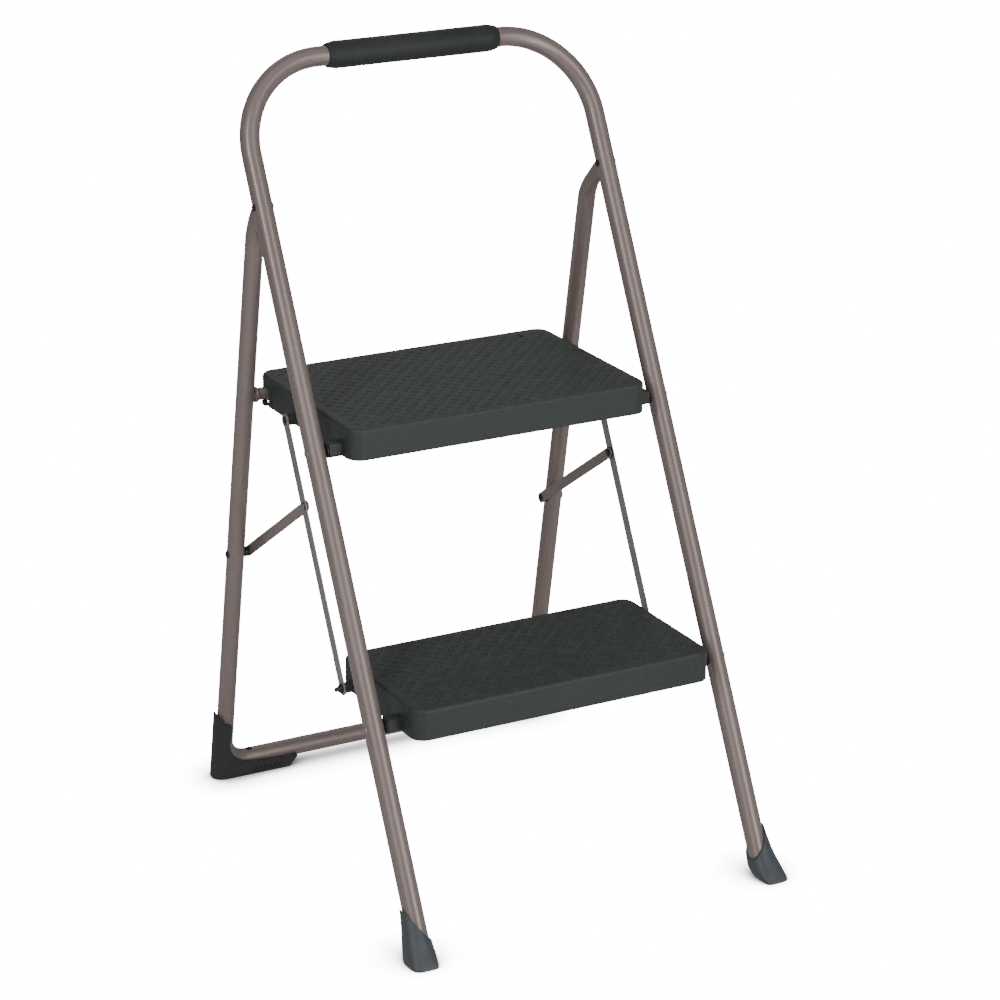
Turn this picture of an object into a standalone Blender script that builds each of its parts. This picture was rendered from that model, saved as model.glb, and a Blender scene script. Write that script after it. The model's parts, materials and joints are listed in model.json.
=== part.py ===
"""Folding two-step step stool with a hand rail: tubular steel frames and moulded steps.

Axes: +X to the user's right, +Y to the back of the stool, +Z up, metres. The stool stands open on z = 0.
The origin is at the middle of the footprint. Until the last step y = 0 is where the centre lines of the
front legs meet the floor. Front and rear frames fold together about the frame pivot, the two steps swing
up about rivets in the front legs, a link bar on each side keeps the steps parallel, and a strut from each
link bar pulls the rear legs in.
"""

import math

import bmesh
import bpy
from mathutils import Matrix, Vector

# ---------------------------------------------------------------- stance
FRONT_LEAN = math.radians(26.9)  # front legs lean back from vertical
REAR_LEAN = math.radians(10.0)  # rear legs lean forward from vertical
PIVOT_HEIGHT = 0.7334  # frame pivot above the floor
HANDLE_HEIGHT = 0.8734  # centre line of the hand rail above the floor
FRONT_HALF_WIDTH = 0.2135  # front leg centre line from the middle
REAR_INSET = 0.0045  # rear leg centre line inboard of the front one
REAR_SETBACK = 0.025  # rear leg centre line behind the frame pivot, square to the leg
REAR_RAIL_HEIGHT = 0.0194  # centre line of the bottom rail above the floor

# ---------------------------------------------------------------- frame tubes
FRONT_TUBE_R = 0.0111
REAR_TUBE_R = 0.01025
TUBE_WALL = 0.0012
HANDLE_BEND_R = 0.100
REAR_BEND_R = 0.030
FRONT_TUBE_END = 0.016  # height of the centre of each front leg's open end
TIP_HALF_THICKNESS = 0.0022  # rear leg tips, pressed flat
CROSSBAR_R = 0.0070
CROSSBAR_HEIGHT = 0.4994
CROSSBAR_COLLAR_R = 0.0090
CROSSBAR_COLLAR_LENGTH = 0.0022
CROSSBAR_SPIGOT_R = 0.0060
CROSSBAR_SPIGOT_LENGTH = 0.0040
CROSSBAR_BORE_R = 0.0048

# ---------------------------------------------------------------- hand grip
GRIP_TO_BEND = 0.008  # rail left bare between the grip and each bend
GRIP_WALL = 0.0042  # thickness over the rail
GRIP_END_WALL = 0.0023
GRIP_TAPER = 0.009

# ---------------------------------------------------------------- steps
STEP_TO_LEG = 0.0188  # clear space between a step's side and its front leg
STEP_HEIGHT = 0.0355
STEP_PLATE = 0.0040
STEP_SKIRT = 0.0035
STEP_RIB = 0.0030
STEP_CORNER_R = 0.014
STEP_EDGE_R = 0.0035
STEP_PIVOT_RISE = 0.0075  # step pivot above the underside of the step
STEP_BAYS = 6  # bays between the lengthwise ribs, side to side
BACK_RIB_OFFSET = 0.028  # second cross rib behind the link pivot
TREAD_HOLE_R = 0.0035  # drain hole over each end of the crossbar
TREAD_HOLE_INSET = 0.041  # from the step's side
TOP_STEP_TOP = 0.5197
TOP_STEP_DEPTH = 0.2404
TOP_STEP_NOSE = 0.0307  # front edge ahead of the step pivot
BOTTOM_STEP_TOP = 0.2514
BOTTOM_STEP_DEPTH = 0.1833
BOTTOM_STEP_NOSE = 0.0419

# ---------------------------------------------------------------- linkage
LINK_SETBACK = 0.112  # link pivot behind the step pivot
LINK_WIDTH = 0.011
LINK_THICKNESS = 0.0020
LINK_TO_LEG = 0.0059  # clear space between a link bar and its front leg
LINK_EYE_R = 0.0072
STRUT_LEG_HEIGHT = 0.300  # strut rivet on the rear leg above the floor
STRUT_WIDTH = 0.0125
STRUT_THICKNESS = 0.0020
STRUT_TO_LINK = 0.0010
STEP_FOLD = math.radians(56.0)  # steps swing up by this much
REAR_FOLD_SHORT = math.radians(1.5)  # folded rear legs stop this far from parallel

# ---------------------------------------------------------------- rivets and washers
RIVET_R = 0.0030
RIVET_HEAD_R = 0.0052
RIVET_HEAD = 0.0022
SMALL_RIVET_R = 0.0025
SMALL_HEAD_R = 0.0044
SMALL_HEAD = 0.0018
BOSS_R = 0.0075
LINK_BOSS_R = 0.0060
WASHER_R = 0.0080
WASHER_THICKNESS = 0.0020
PEG_R = 0.0040
PEG_LENGTH = 0.0085  # rubber stop peg beyond the link bar
GAP = 0.0003  # clearance between pieces that touch

# ---------------------------------------------------------------- feet
FOOT_FLARE_OUT = 0.0109  # sole edge beyond the leg's surface, outboard
FOOT_FLARE_IN = 0.0014
FOOT_FRONT = 0.0169
FOOT_BACK = 0.0019
FOOT_COLLAR_WALL = 0.0024
FOOT_COLLAR_OUTER = 0.0555  # top of the collar, outer side, above the floor
FOOT_COLLAR_INNER = 0.0225
BOOT_WALL = 0.0045
BOOT_TOP = 0.077  # top of the rear foot above the floor
BOOT_TOP_SLANT = 0.009  # fall of its upper edge towards the middle of the leg
BOOT_REACH = 0.095  # rear foot along the bottom rail, from the leg centre line
BOOT_END_SLANT = 0.012
BOOT_LIP = 0.002  # its edge lies this far outside the tube's centre line
BOOT_CORNER_R = 0.011
BOOT_SOLE_TRIM = 0.001  # cut off flat at the floor
SCREW_SETBACK = 0.033  # foot screw from the leg centre line, along the rail
SCREW_R = 0.0018
SCREW_HEAD_R = 0.0034
SCREW_HEAD = 0.0016
SCREW_BITE = 0.0045  # length in the foot

# ---------------------------------------------------------------- facets
TUBE_SIDES = 20
RIVET_SIDES = 12
BEND_STEPS = 8
CORNER_STEPS = 4
OVERRUN = 0.02  # cutters run this far past what they cut

SIDES = {"left": -1, "right": 1}
X_AXIS = Vector((1, 0, 0))
Y_AXIS = Vector((0, 1, 0))
Z_AXIS = Vector((0, 0, 1))

REAR_HALF_WIDTH = FRONT_HALF_WIDTH - REAR_INSET
STEP_HALF_WIDTH = FRONT_HALF_WIDTH - FRONT_TUBE_R - STEP_TO_LEG
GRIP_R = FRONT_TUBE_R + GRIP_WALL
GRIP_END_R = FRONT_TUBE_R + GRIP_END_WALL


# ---------------------------------------------------------------- mechanism
def point_on_front_leg(height):
    """Point (0, y, z) of the front legs' centre plane at a height."""
    return Vector((0, height * math.tan(FRONT_LEAN), height))


def turned_about_x(vector, angle):
    return Matrix.Rotation(angle, 3, "X") @ vector


FRAME_PIVOT = point_on_front_leg(PIVOT_HEIGHT)
REAR_UP = turned_about_x(Z_AXIS, REAR_LEAN)  # up along a rear leg
REAR_BACK = turned_about_x(Y_AXIS, REAR_LEAN)  # square to the rear legs, backwards
FRONT_UP = turned_about_x(Z_AXIS, -FRONT_LEAN)
REAR_FOLD = FRONT_LEAN + REAR_LEAN - REAR_FOLD_SHORT
TOP_PIVOT = point_on_front_leg(TOP_STEP_TOP - STEP_HEIGHT + STEP_PIVOT_RISE)
BOTTOM_PIVOT = point_on_front_leg(BOTTOM_STEP_TOP - STEP_HEIGHT + STEP_PIVOT_RISE)
LINK_OFFSET = Vector((0, LINK_SETBACK, 0))
LINK_TOP = TOP_PIVOT + LINK_OFFSET
LINK_BOTTOM = BOTTOM_PIVOT + LINK_OFFSET


def rear_leg_distance(height):
    """Distance down a rear leg, from level with the frame pivot, to a height above the floor."""
    return (FRAME_PIVOT.z + REAR_BACK.z * REAR_SETBACK - height) / REAR_UP.z


def point_on_rear_leg(height):
    return FRAME_PIVOT + REAR_BACK * REAR_SETBACK - REAR_UP * rear_leg_distance(height)


def strut_link_point():
    """Point of the link bar from which one rigid strut reaches the rear leg both open and folded.

    The link bar only shifts as the steps swing, so the two strut lengths, open and folded, are equal for
    one distance down the bar, found by equating their squares.
    """
    open_span = STRUT_LEG - LINK_TOP
    folded_leg = FRAME_PIVOT + turned_about_x(STRUT_LEG - FRAME_PIVOT, -REAR_FOLD)
    shift = turned_about_x(LINK_OFFSET, STEP_FOLD) - LINK_OFFSET
    folded_span = folded_leg - shift - LINK_TOP
    down = (folded_span.length_squared - open_span.length_squared) / (
        2 * (open_span - folded_span).dot(FRONT_UP)
    )
    return LINK_TOP - FRONT_UP * down


STRUT_LEG = point_on_rear_leg(STRUT_LEG_HEIGHT)
STRUT_LINK = strut_link_point()
CROSSBAR = point_on_rear_leg(CROSSBAR_HEIGHT)
RAIL_DISTANCE = rear_leg_distance(REAR_RAIL_HEIGHT)

# ---------------------------------------------------------------- layers from the middle outwards
LEG_INNER_FACE = FRONT_HALF_WIDTH - FRONT_TUBE_R
LEG_OUTER_FACE = FRONT_HALF_WIDTH + FRONT_TUBE_R
REAR_INNER_FACE = REAR_HALF_WIDTH - REAR_TUBE_R
REAR_OUTER_FACE = REAR_HALF_WIDTH + REAR_TUBE_R
WASHER_FACE = LEG_INNER_FACE - GAP
BOSS_FACE = WASHER_FACE - WASHER_THICKNESS - GAP
LINK_OUTER_FACE = LEG_INNER_FACE - LINK_TO_LEG
LINK_INNER_FACE = LINK_OUTER_FACE - LINK_THICKNESS
STRUT_OUTER_FACE = LINK_INNER_FACE - STRUT_TO_LINK
STRUT_INNER_FACE = STRUT_OUTER_FACE - STRUT_THICKNESS
TIP_CENTRE = LEG_INNER_FACE - GAP - TIP_HALF_THICKNESS
SKIRT_INNER_FACE = STEP_HALF_WIDTH - STEP_SKIRT


# ---------------------------------------------------------------- scene helpers
def clear_scene():
    for thing in list(bpy.data.objects):
        bpy.data.objects.remove(thing)


def make_material(name, colour, roughness, metallic=0.0):
    material = bpy.data.materials.new(name)
    material.use_nodes = True
    shader = material.node_tree.nodes["Principled BSDF"]
    shader.inputs["Base Color"].default_value = (*colour, 1)
    shader.inputs["Roughness"].default_value = roughness
    shader.inputs["Metallic"].default_value = metallic
    material.diffuse_color = (*colour, 1)
    return material


def add_empty(name, location, parent=None):
    empty = bpy.data.objects.new(name, None)
    empty.empty_display_size = 0.03
    empty.location = location
    empty.parent = parent
    bpy.context.scene.collection.objects.link(empty)
    return empty


def add_object(name, mesh_maker, material=None, parent=None, location=(0, 0, 0), lean=0.0):
    """Turn a bmesh into an object with outward normals and smooth round faces."""
    bmesh.ops.recalc_face_normals(mesh_maker, faces=mesh_maker.faces)
    mesh = bpy.data.meshes.new(name)
    mesh_maker.to_mesh(mesh)
    mesh_maker.free()
    if material:
        mesh.materials.append(material)
    mesh.shade_smooth()
    mesh.set_sharp_from_angle(angle=math.radians(35))
    thing = bpy.data.objects.new(name, mesh)
    thing.location = location
    thing.rotation_euler.x = lean
    thing.parent = parent
    bpy.context.scene.collection.objects.link(thing)
    return thing


def add_helper(name, mesh_maker, like):
    """A cutter or an addition for a Boolean, in the same place as the object it works on."""
    helper = add_object(name, mesh_maker, None, like.parent, like.location, like.rotation_euler.x)
    helper.hide_render = True
    helper.display_type = "WIRE"
    return helper


def apply_boolean(thing, helper, operation):
    modifier = thing.modifiers.new(helper.name, "BOOLEAN")
    modifier.operation = operation
    modifier.solver = "EXACT"
    modifier.object = helper


# ---------------------------------------------------------------- mesh helpers
def ring_points(centre, across, along, half_across, half_along, squareness=2.0):
    """Closed section in the plane of across and along; squareness 2 is an ellipse, more is boxier."""
    points = []
    for index in range(TUBE_SIDES):
        angle = math.tau * index / TUBE_SIDES
        a = math.copysign(abs(math.cos(angle)) ** (2 / squareness), math.cos(angle))
        b = math.copysign(abs(math.sin(angle)) ** (2 / squareness), math.sin(angle))
        points.append(centre + across * (a * half_across) + along * (b * half_along))
    return points


def bridge(mesh_maker, first, second):
    count = len(first)
    for index in range(count):
        after = (index + 1) % count
        mesh_maker.faces.new((first[index], first[after], second[after], second[index]))


def skin_rings(mesh_maker, rings):
    """Join successive rings with quads and return the rings of vertices."""
    loops = [[mesh_maker.verts.new(point) for point in ring] for ring in rings]
    for first, second in zip(loops, loops[1:]):
        bridge(mesh_maker, first, second)
    return loops


def loft(rings):
    """Solid through the rings, flat at both ends."""
    mesh_maker = bmesh.new()
    loops = skin_rings(mesh_maker, rings)
    mesh_maker.faces.new(loops[0])
    mesh_maker.faces.new(loops[-1])
    return mesh_maker


def hollow_loft(outer, inner):
    """Tube between two sets of rings, open at both ends."""
    mesh_maker = bmesh.new()
    outer_loops = skin_rings(mesh_maker, outer)
    inner_loops = skin_rings(mesh_maker, inner)
    bridge(mesh_maker, outer_loops[0], inner_loops[0])
    bridge(mesh_maker, outer_loops[-1], inner_loops[-1])
    return mesh_maker


def add_turned(mesh_maker, profile, side=1, centre=(0, 0), bored=False, count=RIVET_SIDES):
    """Turn a profile of (x, radius) about an axis along X at centre (y, z)."""
    loops = []
    for x, radius in profile:
        loop = []
        for index in range(count):
            angle = math.tau * index / count
            y = centre[0] + radius * math.cos(angle)
            z = centre[1] + radius * math.sin(angle)
            loop.append(mesh_maker.verts.new((side * x, y, z)))
        loops.append(loop)
    for first, second in zip(loops, loops[1:]):
        bridge(mesh_maker, first, second)
    if bored:
        bridge(mesh_maker, loops[-1], loops[0])
    else:
        mesh_maker.faces.new(loops[0])
        mesh_maker.faces.new(loops[-1])


def turned(profile, side=1, centre=(0, 0), bored=False, count=RIVET_SIDES):
    mesh_maker = bmesh.new()
    add_turned(mesh_maker, profile, side, centre, bored, count)
    return mesh_maker


def add_rod(mesh_maker, low, high, radius, centre=(0, 0), side=1, count=RIVET_SIDES):
    add_turned(mesh_maker, [(low, radius), (high, radius)], side, centre, count=count)


def add_box(mesh_maker, low, high):
    size = Vector(high) - Vector(low)
    middle = (Vector(high) + Vector(low)) / 2
    matrix = Matrix.Translation(middle) @ Matrix.Diagonal((*size, 1))
    bmesh.ops.create_cube(mesh_maker, size=1, matrix=matrix)


def add_prism(mesh_maker, outline, low, high):
    """Extrude an outline of (y, z) points along X."""
    loops = [[mesh_maker.verts.new((x, y, z)) for y, z in outline] for x in (low, high)]
    bridge(mesh_maker, loops[0], loops[1])
    mesh_maker.faces.new(loops[0])
    mesh_maker.faces.new(loops[1])


def arc(centre, radius, start, end, steps):
    """Points (u, v) of an arc, angles in radians."""
    angles = [start + (end - start) * index / steps for index in range(steps + 1)]
    return [(centre[0] + radius * math.cos(a), centre[1] + radius * math.sin(a)) for a in angles]


def bar_outline(start, end, half_width, eye_r, steps=5):
    """Flat bar from one eye to another, as (y, z) points: round ends joined by straight sides."""
    direction = math.atan2(end[1] - start[1], end[0] - start[0])
    waist = math.asin(min(half_width / eye_r, 1.0))
    end_arc = arc(end, eye_r, direction - math.pi + waist, direction + math.pi - waist, 2 * steps)
    start_arc = arc(start, eye_r, direction + waist, direction + math.tau - waist, 2 * steps)
    return end_arc + start_arc


# ---------------------------------------------------------------- frames
def mirrored_path(half):
    """Carry a half path of (centre, across, half_across, half_along, squareness) over the middle."""
    flip = Vector((-1, 1, 1))
    other = [(centre * flip, across * flip, *rest) for centre, across, *rest in reversed(half)]
    return half + other


def path_rings(path, shrink=0.0):
    rings = []
    for centre, across, half_across, half_along, squareness in path:
        sizes = (half_across - shrink, half_along - shrink)
        rings.append(ring_points(centre, across, Y_AXIS, *sizes, squareness))
    return rings


def bend(corner_x, corner_z, radius, tube_r, up):
    """Quarter bend from a leg into a rail; up is 1 for a hand rail and -1 for a bottom rail."""
    sections = []
    for index in range(BEND_STEPS + 1):
        angle = math.pi / 2 * index / BEND_STEPS
        across = Vector((math.cos(angle), 0, up * math.sin(angle)))
        centre = Vector((corner_x - radius, 0, corner_z - up * radius)) + across * radius
        sections.append((centre, across, tube_r, tube_r, 2.0))
    return sections


def along_leg(height):
    """Distance up a front leg from the floor to a height."""
    return height / math.cos(FRONT_LEAN)


def build_front_frame(material, stool):
    """One bent tube: two legs and the hand rail, with rivet holes at its three pivots."""
    foot = (Vector((FRONT_HALF_WIDTH, 0, along_leg(FRONT_TUBE_END))), X_AXIS, FRONT_TUBE_R, FRONT_TUBE_R, 2.0)
    half = [foot] + bend(FRONT_HALF_WIDTH, along_leg(HANDLE_HEIGHT), HANDLE_BEND_R, FRONT_TUBE_R, 1)
    path = mirrored_path(half)
    tube = hollow_loft(path_rings(path), path_rings(path, TUBE_WALL))
    frame = add_object("front_frame", tube, material, stool, lean=-FRONT_LEAN)
    holes = bmesh.new()
    reach = LEG_OUTER_FACE + OVERRUN
    for pivot in (FRAME_PIVOT, TOP_PIVOT, BOTTOM_PIVOT):
        add_rod(holes, -reach, reach, RIVET_R + GAP, (0, along_leg(pivot.z)))
    apply_boolean(frame, add_helper("front_frame_holes", holes, frame), "DIFFERENCE")
    return frame


def rear_tip_sections():
    """Upper end of a rear leg: the round tube pressed flat, bent forward to the pivot and set inboard.

    Each row is the height above the frame pivot, the front and back edges behind the pivot, how round the
    section is (0 flat, 1 round) and how far it has moved from the leg's centre line (0) to the tip's (1).
    """
    front, back = REAR_SETBACK - REAR_TUBE_R, REAR_SETBACK + REAR_TUBE_R
    rows = (
        (0.0065, -0.0050, 0.0045, 0.0, 1.0),
        (0.0010, -0.0075, 0.0085, 0.0, 1.0),
        (-0.0060, -0.0062, 0.0130, 0.0, 1.0),
        (-0.0150, 0.0015, front + 0.0055, 0.15, 1.05),
        (-0.0250, front - 0.0062, back - 0.0080, 0.42, 0.70),
        (-0.0360, front - 0.0024, back - 0.0034, 0.74, 0.28),
        (-0.0480, front - 0.0006, back - 0.0006, 0.96, 0.05),
        (-0.0600, front, back, 1.0, 0.0),
    )
    inset = REAR_HALF_WIDTH - TIP_CENTRE
    sections = []
    for height, edge_front, edge_back, roundness, moved in rows:
        x = REAR_HALF_WIDTH - inset * moved
        centre = Vector((x, (edge_front + edge_back) / 2, height))
        half_thickness = TIP_HALF_THICKNESS + (REAR_TUBE_R - TIP_HALF_THICKNESS) * roundness
        half_along = (edge_back - edge_front) / 2
        sections.append((centre, X_AXIS, half_thickness, half_along, 3.0 - roundness))
    return sections


def rear_path(with_tips=True, grow=0.0):
    """Path of the rear frame tube in its own plane, origin on the frame pivot."""
    corner = bend(REAR_HALF_WIDTH, -RAIL_DISTANCE, REAR_BEND_R, REAR_TUBE_R, -1)
    top = [(Vector((REAR_HALF_WIDTH, 0, -RAIL_DISTANCE / 2)), X_AXIS, REAR_TUBE_R, REAR_TUBE_R, 2.0)]
    half = [
        (centre + Y_AXIS * REAR_SETBACK, across, size_a + grow, size_b + grow, squareness)
        for centre, across, size_a, size_b, squareness in (corner if with_tips else top + corner)
    ]
    return mirrored_path(rear_tip_sections() + half if with_tips else half)


def rear_local(point):
    """(y, z) of a world point in the rear frame's own plane."""
    offset = turned_about_x(point - FRAME_PIVOT, -REAR_LEAN)
    return offset.y, offset.z


def screw_hole_profile(depth=OVERRUN):
    """Foot screw's hole, from above the rail to a depth below it, along the rear frame's own upright."""
    radius = SCREW_R + GAP
    return [(-RAIL_DISTANCE - REAR_TUBE_R - depth, radius), (-RAIL_DISTANCE + OVERRUN, radius)]


def add_upright(mesh_maker, profile, x, y):
    """Turn a profile of (height, radius) about an upright axis at (x, y)."""
    start = len(mesh_maker.verts)
    add_turned(mesh_maker, profile)
    mesh_maker.verts.ensure_lookup_table()
    upright = Matrix.Translation((x, y, 0)) @ Matrix.Rotation(-math.pi / 2, 4, "Y")
    bmesh.ops.transform(mesh_maker, matrix=upright, verts=mesh_maker.verts[start:])


def add_screw(mesh_maker, side, profile):
    """Turn a profile of (height, radius) about a foot screw's axis, in the rear frame's own plane."""
    add_upright(mesh_maker, profile, side * (REAR_HALF_WIDTH - SCREW_SETBACK), REAR_SETBACK)


def build_rear_frame(material, pivot):
    """One bent tube: two legs and the bottom rail, tips pressed flat, with its rivet and crossbar holes."""
    path = rear_path()
    tube = hollow_loft(path_rings(path), path_rings(path, TUBE_WALL))
    frame = add_object("rear_frame", tube, material, pivot, lean=REAR_LEAN)
    holes = bmesh.new()
    for side in SIDES.values():
        add_rod(holes, TIP_CENTRE - OVERRUN, TIP_CENTRE + OVERRUN, RIVET_R + GAP, (0, 0), side)
        reach = (REAR_INNER_FACE - OVERRUN, REAR_OUTER_FACE + OVERRUN)
        add_rod(holes, *reach, RIVET_R + GAP, rear_local(STRUT_LEG), side)
        seat = (REAR_INNER_FACE - OVERRUN, REAR_INNER_FACE + CROSSBAR_SPIGOT_LENGTH + GAP)
        add_rod(holes, *seat, CROSSBAR_SPIGOT_R + GAP, rear_local(CROSSBAR), side)
        add_screw(holes, side, screw_hole_profile())
    apply_boolean(frame, add_helper("rear_frame_holes", holes, frame), "DIFFERENCE")
    return frame


def build_crossbar(material, pivot):
    """Round bar that the top step rests on, with a collar and a spigot at each rear leg."""
    face = REAR_INNER_FACE - GAP
    collar = face - CROSSBAR_COLLAR_LENGTH
    half = [
        (face + CROSSBAR_SPIGOT_LENGTH, CROSSBAR_SPIGOT_R),
        (face, CROSSBAR_SPIGOT_R),
        (face, CROSSBAR_COLLAR_R),
        (collar, CROSSBAR_COLLAR_R),
        (collar, CROSSBAR_R),
    ]
    half.insert(0, (half[0][0], CROSSBAR_BORE_R))
    profile = [(-x, radius) for x, radius in half] + half[::-1]
    bar = turned(profile, bored=True, count=TUBE_SIDES)
    return add_object("rear_crossbar", bar, material, pivot, CROSSBAR - FRAME_PIVOT)


def build_grip(material, stool):
    """Vinyl sleeve on the hand rail, chamfered at both ends."""
    half, bore = FRONT_HALF_WIDTH - HANDLE_BEND_R - GRIP_TO_BEND, FRONT_TUBE_R + GAP
    profile = [
        (-half, bore),
        (-half, GRIP_END_R - 0.0012),
        (-half + 0.0012, GRIP_END_R),
        (-half + GRIP_TAPER, GRIP_R),
        (half - GRIP_TAPER, GRIP_R),
        (half - 0.0012, GRIP_END_R),
        (half, GRIP_END_R - 0.0012),
        (half, bore),
    ]
    sleeve = turned(profile, bored=True, count=TUBE_SIDES)
    return add_object("hand_grip", sleeve, material, stool, point_on_front_leg(HANDLE_HEIGHT))


# ---------------------------------------------------------------- steps
def slab(depth, nose, inset, low, high):
    """Rounded slab between two levels with its origin on the step pivot, shrunk all round by inset."""
    mesh_maker = bmesh.new()
    r, half = STEP_CORNER_R - inset, STEP_HALF_WIDTH - inset
    front, back = inset - nose, depth - nose - inset
    outline = []
    for quarter, (x, y) in enumerate(
        ((half - r, back - r), (r - half, back - r), (r - half, front + r), (half - r, front + r))
    ):
        start = math.pi / 2 * quarter
        outline += arc((x, y), r, start, start + math.pi / 2, CORNER_STEPS)
    loops = [[mesh_maker.verts.new((x, y, z)) for x, y in outline] for z in (low, high)]
    bridge(mesh_maker, loops[0], loops[1])
    mesh_maker.faces.new(loops[0])
    top = mesh_maker.faces.new(loops[1])
    return mesh_maker, top


def step_body(depth, nose):
    """Slab with a rounded upper edge."""
    mesh_maker, top = slab(depth, nose, 0.0, -STEP_PIVOT_RISE, STEP_HEIGHT - STEP_PIVOT_RISE)
    bmesh.ops.bevel(
        mesh_maker, geom=list(top.edges), offset=STEP_EDGE_R, segments=3, profile=0.5, affect="EDGES"
    )
    return mesh_maker


def step_hollows(depth, nose):
    """The bays between the ribs under a step; the cross ribs keep clear of the pivots' rivets."""
    mesh_maker = bmesh.new()
    front, back = STEP_SKIRT - nose, depth - nose - STEP_SKIRT
    ribs = [LINK_SETBACK / 2, LINK_SETBACK + BACK_RIB_OFFSET]
    ribs = [y for y in ribs if y + BACK_RIB_OFFSET < back]
    starts = [front] + [y + STEP_RIB / 2 for y in ribs]
    ends = [y - STEP_RIB / 2 for y in ribs] + [back]
    pitch = (2 * SKIRT_INNER_FACE + STEP_RIB) / STEP_BAYS
    floor = -STEP_PIVOT_RISE - OVERRUN
    ceiling = STEP_HEIGHT - STEP_PIVOT_RISE - STEP_PLATE
    for bay in range(STEP_BAYS):
        left = -SKIRT_INNER_FACE + bay * pitch
        for start, end in zip(starts, ends):
            add_box(mesh_maker, (left, start, floor), (left + pitch - STEP_RIB, end, ceiling))
    return mesh_maker


def step_bosses():
    """A lug at each step pivot and a round boss at each link pivot, both sides, rooted in the skirt."""
    mesh_maker = bmesh.new()
    root = STEP_HALF_WIDTH - STEP_SKIRT / 2
    lug = arc((0, 0), BOSS_R, math.pi, math.tau, 8) + [(BOSS_R, BOSS_R), (-BOSS_R, BOSS_R)]
    for side in SIDES.values():
        add_prism(mesh_maker, lug, side * root, side * BOSS_FACE)
        face = LINK_INNER_FACE - GAP
        add_rod(mesh_maker, root, face, LINK_BOSS_R, (LINK_SETBACK, 0), side, count=16)
    return mesh_maker


def step_rivet_holes():
    mesh_maker = bmesh.new()
    reach = (SKIRT_INNER_FACE - STEP_SKIRT, LEG_INNER_FACE)
    for side in SIDES.values():
        add_rod(mesh_maker, *reach, RIVET_R + GAP, (0, 0), side)
        add_rod(mesh_maker, *reach, SMALL_RIVET_R + GAP, (LINK_SETBACK, 0), side)
    return mesh_maker


def crossbar_notch():
    """Slot through the skirts and ribs, open below, along the crossbar's path out of the top step."""
    mesh_maker = bmesh.new()
    radius = CROSSBAR_R + 2 * GAP
    start = CROSSBAR - TOP_PIVOT
    share = 0.10
    folded = FRAME_PIVOT + turned_about_x(CROSSBAR - FRAME_PIVOT, -REAR_FOLD * share)
    path = turned_about_x(folded - TOP_PIVOT, -STEP_FOLD * share) - start
    end = start + path * (STEP_HEIGHT / path.length)
    slot = bar_outline((start.y, start.z), (end.y, end.z), radius, radius, 6)
    reach = STEP_HALF_WIDTH + OVERRUN / 10
    add_prism(mesh_maker, slot, -reach, reach)
    return mesh_maker


def tread_holes():
    """Drain holes through the top step's plate, in line with the crossbar."""
    mesh_maker = bmesh.new()
    setback = CROSSBAR.y - TOP_PIVOT.y
    ceiling = STEP_HEIGHT - STEP_PIVOT_RISE
    for side in SIDES.values():
        x = side * (STEP_HALF_WIDTH - TREAD_HOLE_INSET)
        profile = [(ceiling - STEP_PLATE - GAP, TREAD_HOLE_R), (ceiling + OVERRUN, TREAD_HOLE_R)]
        add_upright(mesh_maker, profile, x, setback)
    return mesh_maker


def build_step(name, material, pivot, depth, nose):
    step = add_object(name, step_body(depth, nose), material, pivot)
    hollows = add_helper(f"{name}_hollows", step_hollows(depth, nose), step)
    inside, _ = slab(depth, nose, STEP_SKIRT, -STEP_HEIGHT, STEP_HEIGHT)
    apply_boolean(hollows, add_helper(f"{name}_inside", inside, step), "INTERSECT")
    apply_boolean(step, hollows, "DIFFERENCE")
    apply_boolean(step, add_helper(f"{name}_bosses", step_bosses(), step), "UNION")
    apply_boolean(step, add_helper(f"{name}_holes", step_rivet_holes(), step), "DIFFERENCE")
    return step


# ---------------------------------------------------------------- linkage
def build_bar(name, material, parent, start, end, low, high, sizes, holes):
    """Flat bar between two pivots with its origin on the first; sizes are half width and eye radius."""
    offset = end - start
    mesh_maker = bmesh.new()
    outline = bar_outline((0, 0), (offset.y, offset.z), *sizes)
    add_prism(mesh_maker, outline, low, high)
    bar = add_object(name, mesh_maker, material, parent, start - parent.location)
    cutter = bmesh.new()
    for point, radius in holes:
        spot = point - start
        reach = sorted((abs(low), abs(high)))
        side = math.copysign(1, low)
        add_rod(cutter, reach[0] - GAP * 5, reach[1] + GAP * 5, radius, (spot.y, spot.z), side)
    apply_boolean(bar, add_helper(f"{name}_holes", cutter, bar), "DIFFERENCE")
    return bar


def rivet_profile(start, end, shank_r, head_r, head, tail_r=None):
    """Rivet along X from inner head to outer head, both outside start and end."""
    tail_r = tail_r or head_r
    return [
        (start - head, tail_r * 0.6),
        (start - head * 0.5, tail_r),
        (start, tail_r),
        (start, shank_r),
        (end, shank_r),
        (end, head_r),
        (end + head * 0.5, head_r * 0.92),
        (end + head, head_r * 0.55),
    ]


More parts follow.
